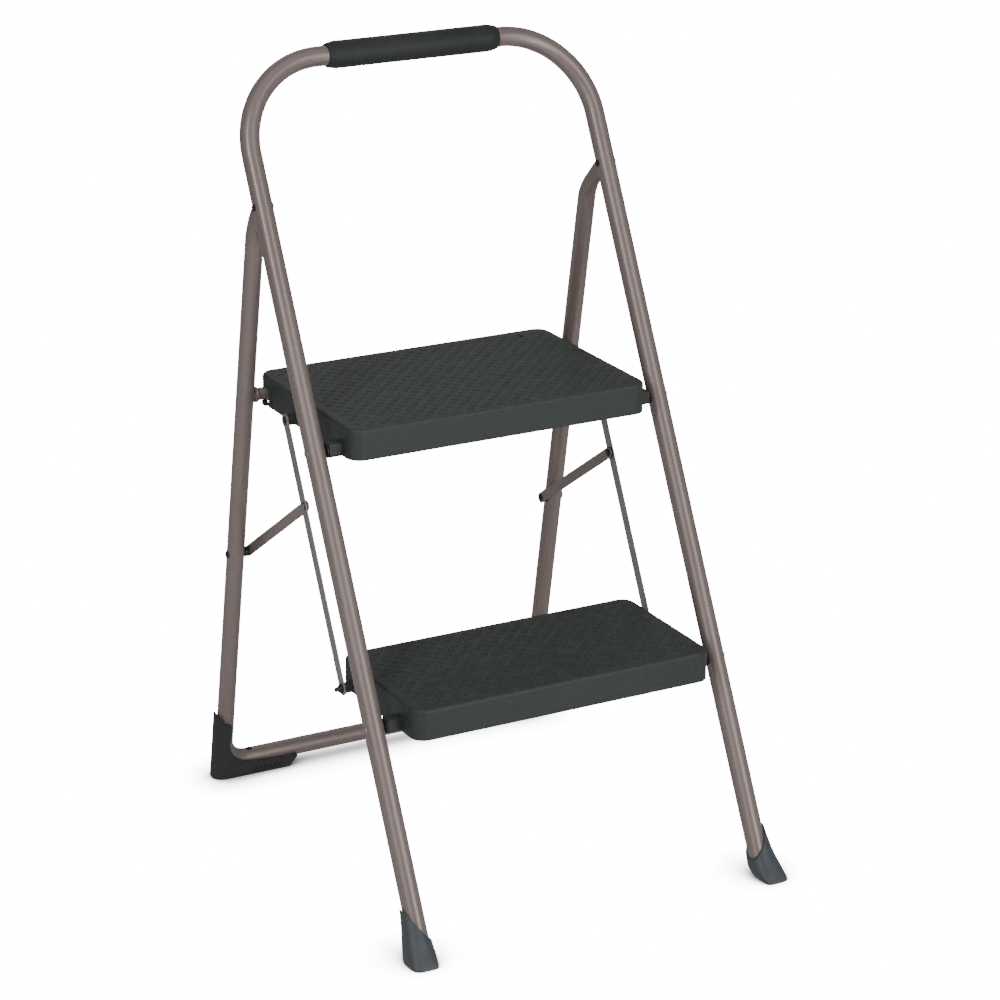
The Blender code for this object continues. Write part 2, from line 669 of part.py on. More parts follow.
def build_side_hardware(name, side, materials, nodes):
    """Rivets, washers, link bar and strut of one side."""
    steel, dark, paint = materials["steel"], materials["dark"], materials["paint"]
    stool, rear = nodes["stool"], nodes["rear"]

    def fixed_rivet(label, point, parent, profile, material):
        piece = turned(profile, side)
        return add_object(f"{label}_{name}", piece, material, parent, point - parent.location)

    inner = TIP_CENTRE - TIP_HALF_THICKNESS - GAP
    outer = LEG_OUTER_FACE + GAP
    fixed_rivet(
        "frame_rivet", FRAME_PIVOT, stool,
        rivet_profile(inner, outer, RIVET_R, RIVET_HEAD_R, RIVET_HEAD), dark,
    )
    for label, pivot in (("top", TOP_PIVOT), ("bottom", BOTTOM_PIVOT)):
        shaft = rivet_profile(SKIRT_INNER_FACE - GAP, outer, RIVET_R, RIVET_HEAD_R, RIVET_HEAD)
        fixed_rivet(f"{label}_step_rivet", pivot, stool, shaft, steel)
        low, high = WASHER_FACE - WASHER_THICKNESS, WASHER_FACE
        ring = [(low, RIVET_R + GAP), (low, WASHER_R), (high, WASHER_R), (high, RIVET_R + GAP)]
        washer = turned(ring, side, bored=True, count=16)
        add_object(f"{label}_step_washer_{name}", washer, dark, stool, pivot)

    link_face = LINK_OUTER_FACE + GAP
    small = (SMALL_RIVET_R, SMALL_HEAD_R, SMALL_HEAD)
    shaft = rivet_profile(SKIRT_INNER_FACE - GAP, link_face, *small)
    fixed_rivet("link_rivet", LINK_TOP, nodes["top_step"], shaft, steel)
    peg = [
        (SKIRT_INNER_FACE - GAP - SMALL_HEAD, SMALL_HEAD_R),
        (SKIRT_INNER_FACE - GAP, SMALL_HEAD_R),
        (SKIRT_INNER_FACE - GAP, SMALL_RIVET_R),
        (link_face, SMALL_RIVET_R),
        (link_face, PEG_R + 0.0008),
        (link_face + 0.0015, PEG_R + 0.0008),
        (link_face + 0.0015, PEG_R),
        (link_face + PEG_LENGTH - 0.0012, PEG_R),
        (link_face + PEG_LENGTH, PEG_R - 0.0012),
    ]
    fixed_rivet("stop_peg", LINK_BOTTOM, nodes["bottom_step"], peg, dark)

    link = build_bar(
        f"link_bar_{name}", steel, nodes["top_step"], LINK_TOP, LINK_BOTTOM,
        side * LINK_INNER_FACE, side * LINK_OUTER_FACE, (LINK_WIDTH / 2, LINK_EYE_R),
        [(point, SMALL_RIVET_R + GAP) for point in (LINK_TOP, LINK_BOTTOM, STRUT_LINK)],
    )
    pin = [
        (LINK_INNER_FACE, SMALL_RIVET_R),
        (LINK_OUTER_FACE + GAP, SMALL_RIVET_R),
        (LINK_OUTER_FACE + GAP, SMALL_HEAD_R),
        (LINK_OUTER_FACE + GAP + SMALL_HEAD, SMALL_HEAD_R * 0.6),
    ]
    add_object(f"strut_pin_{name}", turned(pin, side), steel, link, STRUT_LINK - LINK_TOP)

    strut = build_bar(
        f"strut_{name}", paint, rear, STRUT_LEG, STRUT_LINK,
        side * STRUT_INNER_FACE, side * STRUT_OUTER_FACE, (STRUT_WIDTH / 2, STRUT_WIDTH / 2),
        [(point, SMALL_RIVET_R + GAP) for point in (STRUT_LEG, STRUT_LINK)],
    )
    end_pin = [
        (STRUT_INNER_FACE - GAP - SMALL_HEAD, SMALL_HEAD_R * 0.6),
        (STRUT_INNER_FACE - GAP, SMALL_HEAD_R),
        (STRUT_INNER_FACE - GAP, SMALL_RIVET_R),
        (STRUT_OUTER_FACE, SMALL_RIVET_R),
    ]
    add_object(f"strut_end_rivet_{name}", turned(end_pin, side), steel, strut, STRUT_LINK - STRUT_LEG)
    shaft = rivet_profile(STRUT_INNER_FACE - GAP, REAR_OUTER_FACE + GAP, *small)
    fixed_rivet("strut_rivet", STRUT_LEG, rear, shaft, dark)
    low, high = STRUT_OUTER_FACE + GAP, REAR_INNER_FACE - GAP
    bore = SMALL_RIVET_R + GAP
    ring = [(low, bore), (low, SMALL_HEAD_R), (high, SMALL_HEAD_R), (high, bore)]
    spacer = turned(ring, side, bored=True)
    add_object(f"strut_spacer_{name}", spacer, dark, rear, STRUT_LEG - FRAME_PIVOT)


# ---------------------------------------------------------------- feet
def foot_ring(side, low, high, inward, outward, front, back):
    """Level or slanted ring round a leaning front leg; low and high are its inner and outer heights."""
    points = []
    for index in range(TUBE_SIDES):
        angle = math.tau * index / TUBE_SIDES
        c, s = math.cos(angle), math.sin(angle)
        z = low + (high - low) * (c + 1) / 2
        x = FRONT_HALF_WIDTH + c * (outward if c > 0 else inward)
        y = z * math.tan(FRONT_LEAN) + s * (back if s > 0 else front)
        points.append(Vector((side * x, y, z)))
    return points


def build_front_foot(name, side, material, stool):
    """Rubber foot: flat flared sole, collar cut aslant, bored for the leg."""
    collar = FRONT_TUBE_R + FOOT_COLLAR_WALL
    level = collar / math.cos(FRONT_LEAN)
    sole = [FRONT_TUBE_R + flare for flare in (FOOT_FLARE_IN, FOOT_FLARE_OUT, FOOT_FRONT, FOOT_BACK)]
    waist_high = FOOT_COLLAR_OUTER * 0.55
    rings = [
        foot_ring(side, 0, 0, *sole),
        foot_ring(side, 0.004, 0.004, *sole),
        foot_ring(side, 0.011, 0.018, collar, collar + 0.0035, level + 0.005, level),
        foot_ring(side, FOOT_COLLAR_INNER * 0.7, waist_high, collar, collar + 0.0006, level, level),
        foot_ring(side, FOOT_COLLAR_INNER, FOOT_COLLAR_OUTER, collar, collar, level, level),
    ]
    foot = add_object(f"front_foot_{name}", loft(rings), material, stool)
    bore_r = FRONT_TUBE_R + GAP
    bore_ends = (FRONT_TUBE_END - GAP, FOOT_COLLAR_OUTER + OVERRUN)
    bore = [
        ring_points(
            point_on_front_leg(height) + X_AXIS * (side * FRONT_HALF_WIDTH),
            X_AXIS, turned_about_x(Y_AXIS, -FRONT_LEAN), bore_r, bore_r,
        )
        for height in bore_ends
    ]
    apply_boolean(foot, add_helper(f"front_foot_{name}_bore", loft(bore), foot), "DIFFERENCE")
    return foot


def floor_under_rear(setback):
    """Height of the floor in the rear frame's own plane, at a distance behind the frame pivot."""
    return -(FRAME_PIVOT.z + REAR_BACK.z * setback) / REAR_UP.z


def build_rear_foot(name, side, material, pivot):
    """Rubber trough round the outside of a bottom corner, flat on the floor."""
    half = REAR_TUBE_R + BOOT_WALL
    outer_x, lip_x = REAR_HALF_WIDTH + half, REAR_HALF_WIDTH + BOOT_LIP
    end_x = REAR_HALF_WIDTH - BOOT_REACH
    top = -rear_leg_distance(BOOT_TOP)
    rail, r = -RAIL_DISTANCE, BOOT_CORNER_R
    bottom = floor_under_rear(REAR_SETBACK + half) - BOOT_SOLE_TRIM
    bend_centre = (REAR_HALF_WIDTH - REAR_BEND_R, rail + REAR_BEND_R)
    outline = [(outer_x, top)]
    outline += arc((outer_x - r, bottom + r), r, 0, -math.pi / 2, 5)
    outline += [(end_x + BOOT_END_SLANT, bottom), (end_x, rail - REAR_TUBE_R / 2), (end_x, rail - BOOT_LIP)]
    outline += arc(bend_centre, REAR_BEND_R + BOOT_LIP, -math.pi / 2, 0, 6)
    outline += [(lip_x, top - BOOT_TOP_SLANT), (lip_x + half / 3, top - BOOT_TOP_SLANT / 2)]
    mesh_maker = bmesh.new()
    loops = [
        [mesh_maker.verts.new((side * x, y, z)) for x, z in outline]
        for y in (REAR_SETBACK - half, REAR_SETBACK + half)
    ]
    bridge(mesh_maker, loops[0], loops[1])
    mesh_maker.faces.new(loops[0])
    mesh_maker.faces.new(loops[1])
    boot = add_object(f"rear_foot_{name}", mesh_maker, material, pivot, lean=REAR_LEAN)
    tube = loft(path_rings(rear_path(with_tips=False, grow=GAP)))
    apply_boolean(boot, add_helper(f"rear_foot_{name}_seat", tube, boot), "DIFFERENCE")
    hole = bmesh.new()
    add_screw(hole, side, screw_hole_profile(SCREW_BITE + GAP))
    apply_boolean(boot, add_helper(f"rear_foot_{name}_hole", hole, boot), "DIFFERENCE")
    ground = bmesh.new()
    reach = HANDLE_HEIGHT
    add_box(ground, (-reach, -reach, -reach), (reach, reach, 0))
    floor = add_helper(f"rear_foot_{name}_floor", ground, boot)
    floor.rotation_euler.x = 0
    floor.location = -pivot.location
    apply_boolean(boot, floor, "DIFFERENCE")
    return boot


def build_foot_screw(name, side, material, pivot):
    """Pan-head screw down through the rail into the rear foot."""
    seat = -RAIL_DISTANCE + REAR_TUBE_R + GAP
    profile = [
        (-RAIL_DISTANCE - REAR_TUBE_R - SCREW_BITE, SCREW_R),
        (seat, SCREW_R),
        (seat, SCREW_HEAD_R),
        (seat + SCREW_HEAD * 0.6, SCREW_HEAD_R * 0.92),
        (seat + SCREW_HEAD, SCREW_HEAD_R * 0.5),
    ]
    mesh_maker = bmesh.new()
    add_screw(mesh_maker, side, profile)
    add_object(f"foot_screw_{name}", mesh_maker, material, pivot, lean=REAR_LEAN)


# ---------------------------------------------------------------- the stool
def centre_footprint(stool, feet):
    """Move the whole stool so that its depth is centred on the origin."""
    bpy.context.view_layer.update()
    graph = bpy.context.evaluated_depsgraph_get()
    depths = []
    for foot in feet:
        evaluated = foot.evaluated_get(graph)
        mesh = evaluated.to_mesh()
        depths += [(evaluated.matrix_world @ vertex.co).y for vertex in mesh.vertices]
        evaluated.to_mesh_clear()
    stool.location.y -= (min(depths) + max(depths)) / 2


def build_stool():
    clear_scene()
    materials = {
        "paint": make_material("frame_paint", (0.30, 0.245, 0.235), 0.38, 0.35),
        "steel": make_material("link_steel", (0.33, 0.31, 0.29), 0.40, 0.6),
        "dark": make_material("dark_fittings", (0.02, 0.02, 0.02), 0.5),
        "moulding": make_material("step_moulding", (0.045, 0.055, 0.048), 0.55),
        "grip": make_material("grip_vinyl", (0.022, 0.027, 0.024), 0.6),
        "rubber": make_material("foot_rubber", (0.06, 0.07, 0.075), 0.65),
    }
    stool = add_empty("stool", (0, 0, 0))
    rear = add_empty("rear_frame_pivot", FRAME_PIVOT, stool)
    top = add_empty("top_step_pivot", TOP_PIVOT, stool)
    bottom = add_empty("bottom_step_pivot", BOTTOM_PIVOT, stool)
    nodes = {"stool": stool, "rear": rear, "top_step": top, "bottom_step": bottom}

    build_front_frame(materials["paint"], stool)
    build_rear_frame(materials["paint"], rear)
    build_crossbar(materials["paint"], rear)
    build_grip(materials["grip"], stool)
    top_step = build_step("top_step", materials["moulding"], top, TOP_STEP_DEPTH, TOP_STEP_NOSE)
    apply_boolean(top_step, add_helper("top_step_notch", crossbar_notch(), top_step), "DIFFERENCE")
    apply_boolean(top_step, add_helper("top_step_drain", tread_holes(), top_step), "DIFFERENCE")
    build_step("bottom_step", materials["moulding"], bottom, BOTTOM_STEP_DEPTH, BOTTOM_STEP_NOSE)
    feet = []
    for name, side in SIDES.items():
        build_side_hardware(name, side, materials, nodes)
        feet.append(build_front_foot(name, side, materials["rubber"], stool))
        feet.append(build_rear_foot(name, side, materials["rubber"], rear))
        build_foot_screw(name, side, materials["steel"], rear)
    centre_footprint(stool, feet)


build_stool()
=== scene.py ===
"""Folding two-step stool: surfaces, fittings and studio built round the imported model."""

import json
import logging
import math
from contextlib import contextmanager
from dataclasses import dataclass
from enum import Enum
from typing import Callable, Iterator, Sequence

import bmesh
import bpy
from mathutils import Matrix, Vector

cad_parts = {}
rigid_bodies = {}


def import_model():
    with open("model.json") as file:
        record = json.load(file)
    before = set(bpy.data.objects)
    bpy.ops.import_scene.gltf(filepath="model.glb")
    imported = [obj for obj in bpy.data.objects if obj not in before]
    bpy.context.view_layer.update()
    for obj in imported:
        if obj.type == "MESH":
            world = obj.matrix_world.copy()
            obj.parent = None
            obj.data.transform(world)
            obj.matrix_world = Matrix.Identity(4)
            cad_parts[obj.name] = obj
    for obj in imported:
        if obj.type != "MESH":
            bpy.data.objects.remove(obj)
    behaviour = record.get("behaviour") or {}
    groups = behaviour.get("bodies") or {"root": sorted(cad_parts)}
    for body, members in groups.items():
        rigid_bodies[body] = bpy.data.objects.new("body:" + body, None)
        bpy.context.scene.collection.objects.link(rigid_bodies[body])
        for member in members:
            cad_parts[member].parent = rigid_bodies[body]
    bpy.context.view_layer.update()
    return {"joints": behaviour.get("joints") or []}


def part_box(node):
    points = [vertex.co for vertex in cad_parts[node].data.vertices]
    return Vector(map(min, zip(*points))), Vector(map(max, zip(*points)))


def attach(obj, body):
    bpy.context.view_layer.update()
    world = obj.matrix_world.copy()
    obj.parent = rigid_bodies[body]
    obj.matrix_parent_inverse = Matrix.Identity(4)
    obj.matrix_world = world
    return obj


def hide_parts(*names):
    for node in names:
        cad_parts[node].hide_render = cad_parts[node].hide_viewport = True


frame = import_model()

log = logging.getLogger("stool")

Point = tuple[float, float]
Test = Callable[[Vector, Vector], bool]
Value = float | bpy.types.NodeSocket
SIDES: dict[str, int] = {"left": -1, "right": 1}
X_AXIS = Vector((1, 0, 0))
WELD = 1e-6  # vertices this close are one


class Domain(Enum):
    """What a selection picks."""

    VERT = "VERT"
    EDGE = "EDGE"
    FACE = "FACE"


class Join(Enum):
    """How one solid is combined with another."""

    ADD = "UNION"
    CUT = "DIFFERENCE"
    SHARE = "INTERSECT"


# ---------------------------------------------------------------- outlines
def arc(centre: Point, radius: float, start: float, end: float, steps: int) -> list[Point]:
    """Points along a circular arc.

    Args:
        centre: Middle of the circle.
        radius: Its radius.
        start: First angle in degrees.
        end: Last angle in degrees.
        steps: Number of spans.

    Returns:
        steps + 1 points, both ends among them.
    """
    angles = [math.radians(start + (end - start) * i / steps) for i in range(steps + 1)]
    return [(centre[0] + radius * math.cos(a), centre[1] + radius * math.sin(a)) for a in angles]


def dome(start: float, radius: float, rise: float, steps: int = 5) -> list[Point]:
    """Profile of a domed head.

    Args:
        start: Place of its flat side along the axis.
        radius: Radius of the head.
        rise: Height of the dome, negative for one that faces back.
        steps: Number of spans.

    Returns:
        Points of (place, radius) that end on the axis.
    """
    turns = [math.pi / 2 * i / steps for i in range(steps + 1)]
    points = [(start + rise * math.sin(a), radius * math.cos(a)) for a in turns]
    return points[:-1] + [(start + rise, 0.0)]


def eased(points: Sequence[Point], radius: float, steps: int = 3) -> list[Point]:
    """Round the inner corners of an open line of points.

    Args:
        points: The line.
        radius: How far along each side the rounding starts.
        steps: Spans in each rounding.

    Returns:
        The same line with a short curve in place of each corner.
    """
    vectors = [Vector(p) for p in points]
    line = [vectors[0]]
    for before, corner, after in zip(vectors, vectors[1:], vectors[2:]):
        near, far = before - corner, after - corner
        reach = min(radius, near.length * 0.45, far.length * 0.45)
        if reach < 1e-5 or near.angle(far) > math.radians(178):
            line.append(corner)
            continue
        start, end = corner + near.normalized() * reach, corner + far.normalized() * reach
        for i in range(steps + 1):
            t = i / steps
            line.append(start * (1 - t) ** 2 + corner * 2 * t * (1 - t) + end * t**2)
    line.append(vectors[-1])
    return [(v.x, v.y) for v in line]


def bar_outline(start: Point, end: Point, half: float, eye: float, steps: int = 12) -> list[Point]:
    """Outline of a flat bar between two pivots.

    Args:
        start: First pivot.
        end: Second pivot.
        half: Half the width of the bar.
        eye: Radius of the round ends.
        steps: Spans round each end.

    Returns:
        The closed outline.
    """
    direction = math.degrees(math.atan2(end[1] - start[1], end[0] - start[0]))
    waist = math.degrees(math.asin(min(1.0, half / eye)))
    return arc(end, eye, direction - 180 + waist, direction + 180 - waist, steps) + arc(
        start, eye, direction + waist, direction + 360 - waist, steps
    )


def between(rows: Sequence[Sequence[float]], place: float) -> list[float]:
    """Read a table of sections at any place, along a smooth curve through its rows.

    Args:
        rows: Rows that start with their place, in rising order.
        place: Where to read.

    Returns:
        The other columns at that place.
    """
    last = len(rows) - 1
    place = min(max(place, rows[0][0]), rows[last][0])
    i = next(k for k in range(last) if place <= rows[k + 1][0])
    before, a, b, after = rows[max(i - 1, 0)], rows[i], rows[i + 1], rows[min(i + 2, last)]
    span = b[0] - a[0]
    t = (place - a[0]) / span
    values = []
    for p, q, r, s in zip(before[1:], a[1:], b[1:], after[1:]):
        rise_in = (r - p) / (b[0] - before[0]) * span
        rise_out = (s - q) / (after[0] - a[0]) * span
        cube, square = t**3, t**2
        curve = (2 * cube - 3 * square + 1) * q + (cube - 2 * square + t) * rise_in
        values.append(curve + (3 * square - 2 * cube) * r + (cube - square) * rise_out)
    return values


# ---------------------------------------------------------------- workpiece
def put_down() -> None:
    """Leave edit mode and deselect everything."""
    if bpy.context.object and bpy.context.object.mode != "OBJECT":
        bpy.ops.object.mode_set(mode="OBJECT")
    bpy.ops.object.select_all(action="DESELECT")


class Workpiece:
    """A mesh on the bench, shaped with Blender's own operators."""

    def __init__(self, name: str) -> None:
        """Take the active object as the workpiece."""
        self.obj: bpy.types.Object = bpy.context.object
        self.obj.name = self.obj.data.name = name

    @classmethod
    def block(cls, name: str, low: Sequence[float], high: Sequence[float]) -> "Workpiece":
        """Start from a block between two corners.

        Args:
            name: Name of the piece.
            low: Lowest corner.
            high: Highest corner.

        Returns:
            The new piece.
        """
        put_down()
        bpy.ops.mesh.primitive_cube_add(size=1)
        piece = cls(name)
        with piece.editing():
            bpy.ops.mesh.select_all(action="SELECT")
            bpy.ops.transform.resize(value=Vector(high) - Vector(low), center_override=(0, 0, 0))
            bpy.ops.transform.translate(value=(Vector(high) + Vector(low)) / 2)
        return piece

    @classmethod
    def ring(cls, name: str, radius: float, sides: int, filled: bool = False) -> "Workpiece":
        """Start from a level circle about the origin.

        Args:
            name: Name of the piece.
            radius: Radius of the circle.
            sides: Facets round it.
            filled: Whether it is a face.

        Returns:
            The new piece.
        """
        put_down()
        fill = "NGON" if filled else "NOTHING"
        bpy.ops.mesh.primitive_circle_add(vertices=sides, radius=radius, fill_type=fill)
        return cls(name)

    @classmethod
    def line(cls, name: str, points: Sequence[Sequence[float]], closed: bool = False) -> "Workpiece":
        """Draw a line by drawing one vertex out from point to point.

        Args:
            name: Name of the piece.
            points: Places of (x, y, z).
            closed: Whether it runs back to its start.

        Returns:
            The new piece, a chain of edges.
        """
        put_down()
        bpy.ops.mesh.primitive_plane_add(size=0.001)
        piece = cls(name)
        stops = [Vector(p) for p in points]
        if closed:
            stops.append(stops[0])
        with piece.editing():
            bpy.ops.mesh.select_all(action="SELECT")
            bpy.ops.mesh.merge(type="CENTER")
            bpy.ops.transform.translate(value=stops[0])
            for here, there in zip(stops, stops[1:]):
                bpy.ops.mesh.extrude_region_move(TRANSFORM_OT_translate={"value": there - here})
            bpy.ops.mesh.select_all(action="SELECT")
            bpy.ops.mesh.remove_doubles(threshold=WELD)
        return piece

    @classmethod
    def turned(
        cls, name: str, profile: Sequence[Point], centre: Point, sides: int = 32
    ) -> "Workpiece":
        """Turn a profile about an axis along X.

        Args:
            name: Name of the piece.
            profile: Points of (distance outwards, radius); a bored piece ends where it starts.
            centre: The axis, as (y, z).
            sides: Facets round the axis.

        Returns:
            The turned piece.
        """
        piece = cls.line(name, [(x, 0, r) for x, r in profile])
        with piece.editing():
            bpy.ops.mesh.select_all(action="SELECT")
            bpy.ops.mesh.spin(steps=sides, angle=-math.tau, center=(0, 0, 0), axis=(1, 0, 0))
        piece.weld()
        return piece.placed(Matrix.Translation((0, *centre)))

    @classmethod
    def plate(cls, name: str, outline: Sequence[Point], low: float, high: float) -> "Workpiece":
        """Draw an outline of (y, z), fill it and extrude it along X.

        Args:
            name: Name of the piece.
            outline: The closed outline.
            low: Place along X where it starts.
            high: Place along X where it ends.

        Returns:
            The new piece.
        """
        piece = cls.line(name, [(low, y, z) for y, z in outline], closed=True)
        with piece.editing():
            bpy.ops.mesh.select_all(action="SELECT")
            bpy.ops.mesh.edge_face_add()
            bpy.ops.mesh.extrude_region_move(TRANSFORM_OT_translate={"value": (high - low, 0, 0)})
        piece.face_out()
        return piece

    @contextmanager
    def editing(self) -> Iterator[None]:
        """Hold the piece in edit mode with nothing selected.

        Returns:
            A context that ends in object mode.
        """
        put_down()
        self.obj.select_set(True)
        bpy.context.view_layer.objects.active = self.obj
        bpy.ops.object.mode_set(mode="EDIT")
        bpy.ops.mesh.select_mode(type="VERT")
        bpy.ops.mesh.select_all(action="DESELECT")
        yield
        bpy.ops.object.mode_set(mode="OBJECT")

    def pick(self, domain: Domain, test: Test) -> None:
        """Select by place and direction, in edit mode.

        Args:
            domain: What is picked.
            test: Takes the middle of an element and its normal, or its direction for an edge.
        """
        bpy.ops.mesh.select_mode(type=domain.value)
        bpy.ops.mesh.select_all(action="DESELECT")
        mesh = bmesh.from_edit_mesh(self.obj.data)
        mesh.normal_update()
        if domain is Domain.VERT:
            found = [v for v in mesh.verts if test(v.co, v.normal)]
        elif domain is Domain.FACE:
            found = [f for f in mesh.faces if test(f.calc_center_median(), f.normal)]
        else:
            ends = [(e, e.verts[0].co, e.verts[1].co) for e in mesh.edges]
            found = [e for e, a, b in ends if test((a + b) / 2, (b - a).normalized())]
        for item in found:
            item.select_set(True)
        mesh.select_flush_mode()
        bmesh.update_edit_mesh(self.obj.data)

    def close_end(self, height: float, side: int) -> None:
        """Fill an open tube's level end, in edit mode.

        Args:
            height: Height of the end.
            side: 1 on the right, -1 on the left.
        """
        self.pick(
            Domain.EDGE,
            lambda place, lie: abs(place.z - height) < 1e-4 and place.x * side > 0 and abs(lie.z) < 0.5,
        )
        bpy.ops.mesh.edge_face_add()

    def bevel(self, test: Test, size: float, segments: int = 3) -> "Workpiece":
        """Bevel the edges that a test picks.

        Args:
            test: Takes the middle of an edge and its direction.
            size: Width of the bevel.
            segments: Spans across it.

        Returns:
            The same piece.
        """
        with self.editing():
            self.pick(Domain.EDGE, test)
            bpy.ops.mesh.bevel(offset=size, segments=segments, affect="EDGES", clamp_overlap=True)
        return self

    def soften(self, size: float, segments: int = 2, angle: float = 35.0) -> "Workpiece":
        """Bevel every edge sharper than an angle in degrees."""
        return self.modify(
            "BEVEL", width=size, segments=segments, limit_method="ANGLE",
            angle_limit=math.radians(angle), use_clamp_overlap=True, harden_normals=False,
        )

    def shape(self, move: Callable[[Vector], Vector | None]) -> "Workpiece":
        """Move the vertices one by one.

        Args:
            move: Takes a place and gives the new one, or None to leave it.

        Returns:
            The same piece.
        """
        for vertex in self.obj.data.vertices:
            new = move(vertex.co.copy())
            if new is not None:
                vertex.co = new
        return self

    def weld(self) -> "Workpiece":
        """Merge doubles and turn the faces outwards.

        Returns:
            The same piece.
        """
        with self.editing():
            bpy.ops.mesh.select_all(action="SELECT")
            bpy.ops.mesh.remove_doubles(threshold=WELD)
            bpy.ops.mesh.normals_make_consistent(inside=False)
        return self

    def face_out(self) -> "Workpiece":
        """Turn the faces outwards.

        Returns:
            The same piece.
        """
        with self.editing():
            bpy.ops.mesh.select_all(action="SELECT")
            bpy.ops.mesh.normals_make_consistent(inside=False)
        return self

    def placed(self, matrix: Matrix) -> "Workpiece":
        """Move the mesh by a matrix and leave the object at the origin.

        Args:
            matrix: The move.

        Returns:
            The same piece.
        """
        put_down()
        self.obj.select_set(True)
        bpy.context.view_layer.objects.active = self.obj
        self.obj.matrix_world = matrix
        bpy.ops.object.transform_apply(location=True, rotation=True, scale=True)
        return self

    def modify(self, kind: str, **settings: object) -> "Workpiece":
        """Add a modifier with its settings and apply it.

        Args:
            kind: Type of the modifier.
            settings: Its properties.

        Returns:
            The same piece.
        """
        put_down()
        self.obj.select_set(True)
        bpy.context.view_layer.objects.active = self.obj
        modifier = self.obj.modifiers.new(kind.title(), kind)
        for key, value in settings.items():
            setattr(modifier, key, value)
        bpy.ops.object.modifier_apply(modifier=modifier.name)
        return self

    def combine(self, other: "Workpiece", how: Join) -> "Workpiece":
        """Combine another solid with this one, and put the other away.

        Args:
            other: The other solid.
            how: Whether it is added, cut away or shared.

        Returns:
            The same piece.
        """
        self.modify("BOOLEAN", object=other.obj, operation=how.value, solver="MANIFOLD")
        bpy.data.objects.remove(other.obj)
        return self

    def take_in(self, *others: "Workpiece") -> "Workpiece":
        """Join other meshes into this one as they are.

        Args:
            others: The other pieces.

        Returns:
            The same piece.
        """
        put_down()
        for piece in (*others, self):
            piece.obj.select_set(True)
        bpy.context.view_layer.objects.active = self.obj
        bpy.ops.object.join()
        return self

    def raised(self, height: float) -> "Workpiece":
        """Extrude a filled outline upwards into a solid.

        Args:
            height: How far.

        Returns:
            The same piece.
        """
        with self.editing():
            bpy.ops.mesh.select_all(action="SELECT")
            bpy.ops.mesh.extrude_region_move(TRANSFORM_OT_translate={"value": (0, 0, height)})
        return self.face_out()

    def copied(self, name: str) -> "Workpiece":
        """Duplicate the piece with a mesh of its own.

        Args:
            name: Name of the copy.

        Returns:
            The copy.
        """
        put_down()
        self.obj.select_set(True)
        bpy.context.view_layer.objects.active = self.obj
        bpy.ops.object.duplicate(linked=False)
        return Workpiece(name)

    def mirrored(self, name: str) -> "Workpiece":
        """Copy the piece to the other side of the plane x = 0."""
        return self.copied(name).placed(Matrix.Scale(-1, 4, X_AXIS)).face_out()

    def doubled(self) -> "Workpiece":
        """Join the piece with its mirror image."""
        return self.take_in(self.mirrored(f"{self.obj.name}_mirrored"))

    def repeated(self, places: Sequence[Matrix]) -> "Workpiece":
        """Copy the piece to several places and join the copies.

        Args:
            places: A matrix for each copy.

        Returns:
            All the copies as one piece.
        """
        copies = [self] + [self.copied(self.obj.name) for _ in places[1:]]
        for piece, place in zip(copies, places):
            piece.placed(place)
        return self.take_in(*copies[1:])

    def finish(self, body: str, finish: "Finish", *nodes: str, smooth: float = 32.0) -> None:
        """Smooth, dress and hang the piece on its body.

        Args:
            body: CAD body that it rides on.
            finish: Its surface finish.
            nodes: CAD nodes that it stands for.
            smooth: Edges up to this angle in degrees are shaded smooth.
        """
        put_down()
        self.obj.select_set(True)
        bpy.context.view_layer.objects.active = self.obj
        bpy.ops.object.shade_smooth_by_angle(angle=math.radians(smooth))
        self.modify("WEIGHTED_NORMAL", keep_sharp=True, weight=60)
        self.obj.data.materials.clear()
        self.obj.data.materials.append(finish.material())
        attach(self.obj, body)
        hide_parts(*nodes)
        log.info("%s: %d faces on %s", self.obj.name, len(self.obj.data.polygons), body)

    def finish_pair(self, body: str, finish: "Finish", node: str, smooth: float = 32.0) -> None:
        """Finish a right-hand piece and a mirrored copy of it on the left.

        Args:
            body: CAD body that it rides on; one with a side is changed for the copy.
            finish: Its surface finish.
            node: Right-hand CAD node that it stands for.
            smooth: Edges up to this angle in degrees are shaded smooth.
        """
        twin = self.mirrored(self.obj.name.replace("right", "left"))
        self.finish(body, finish, node, smooth=smooth)
        names = body.replace("right", "left"), node.replace("right", "left")
        twin.finish(names[0], finish, names[1], smooth=smooth)


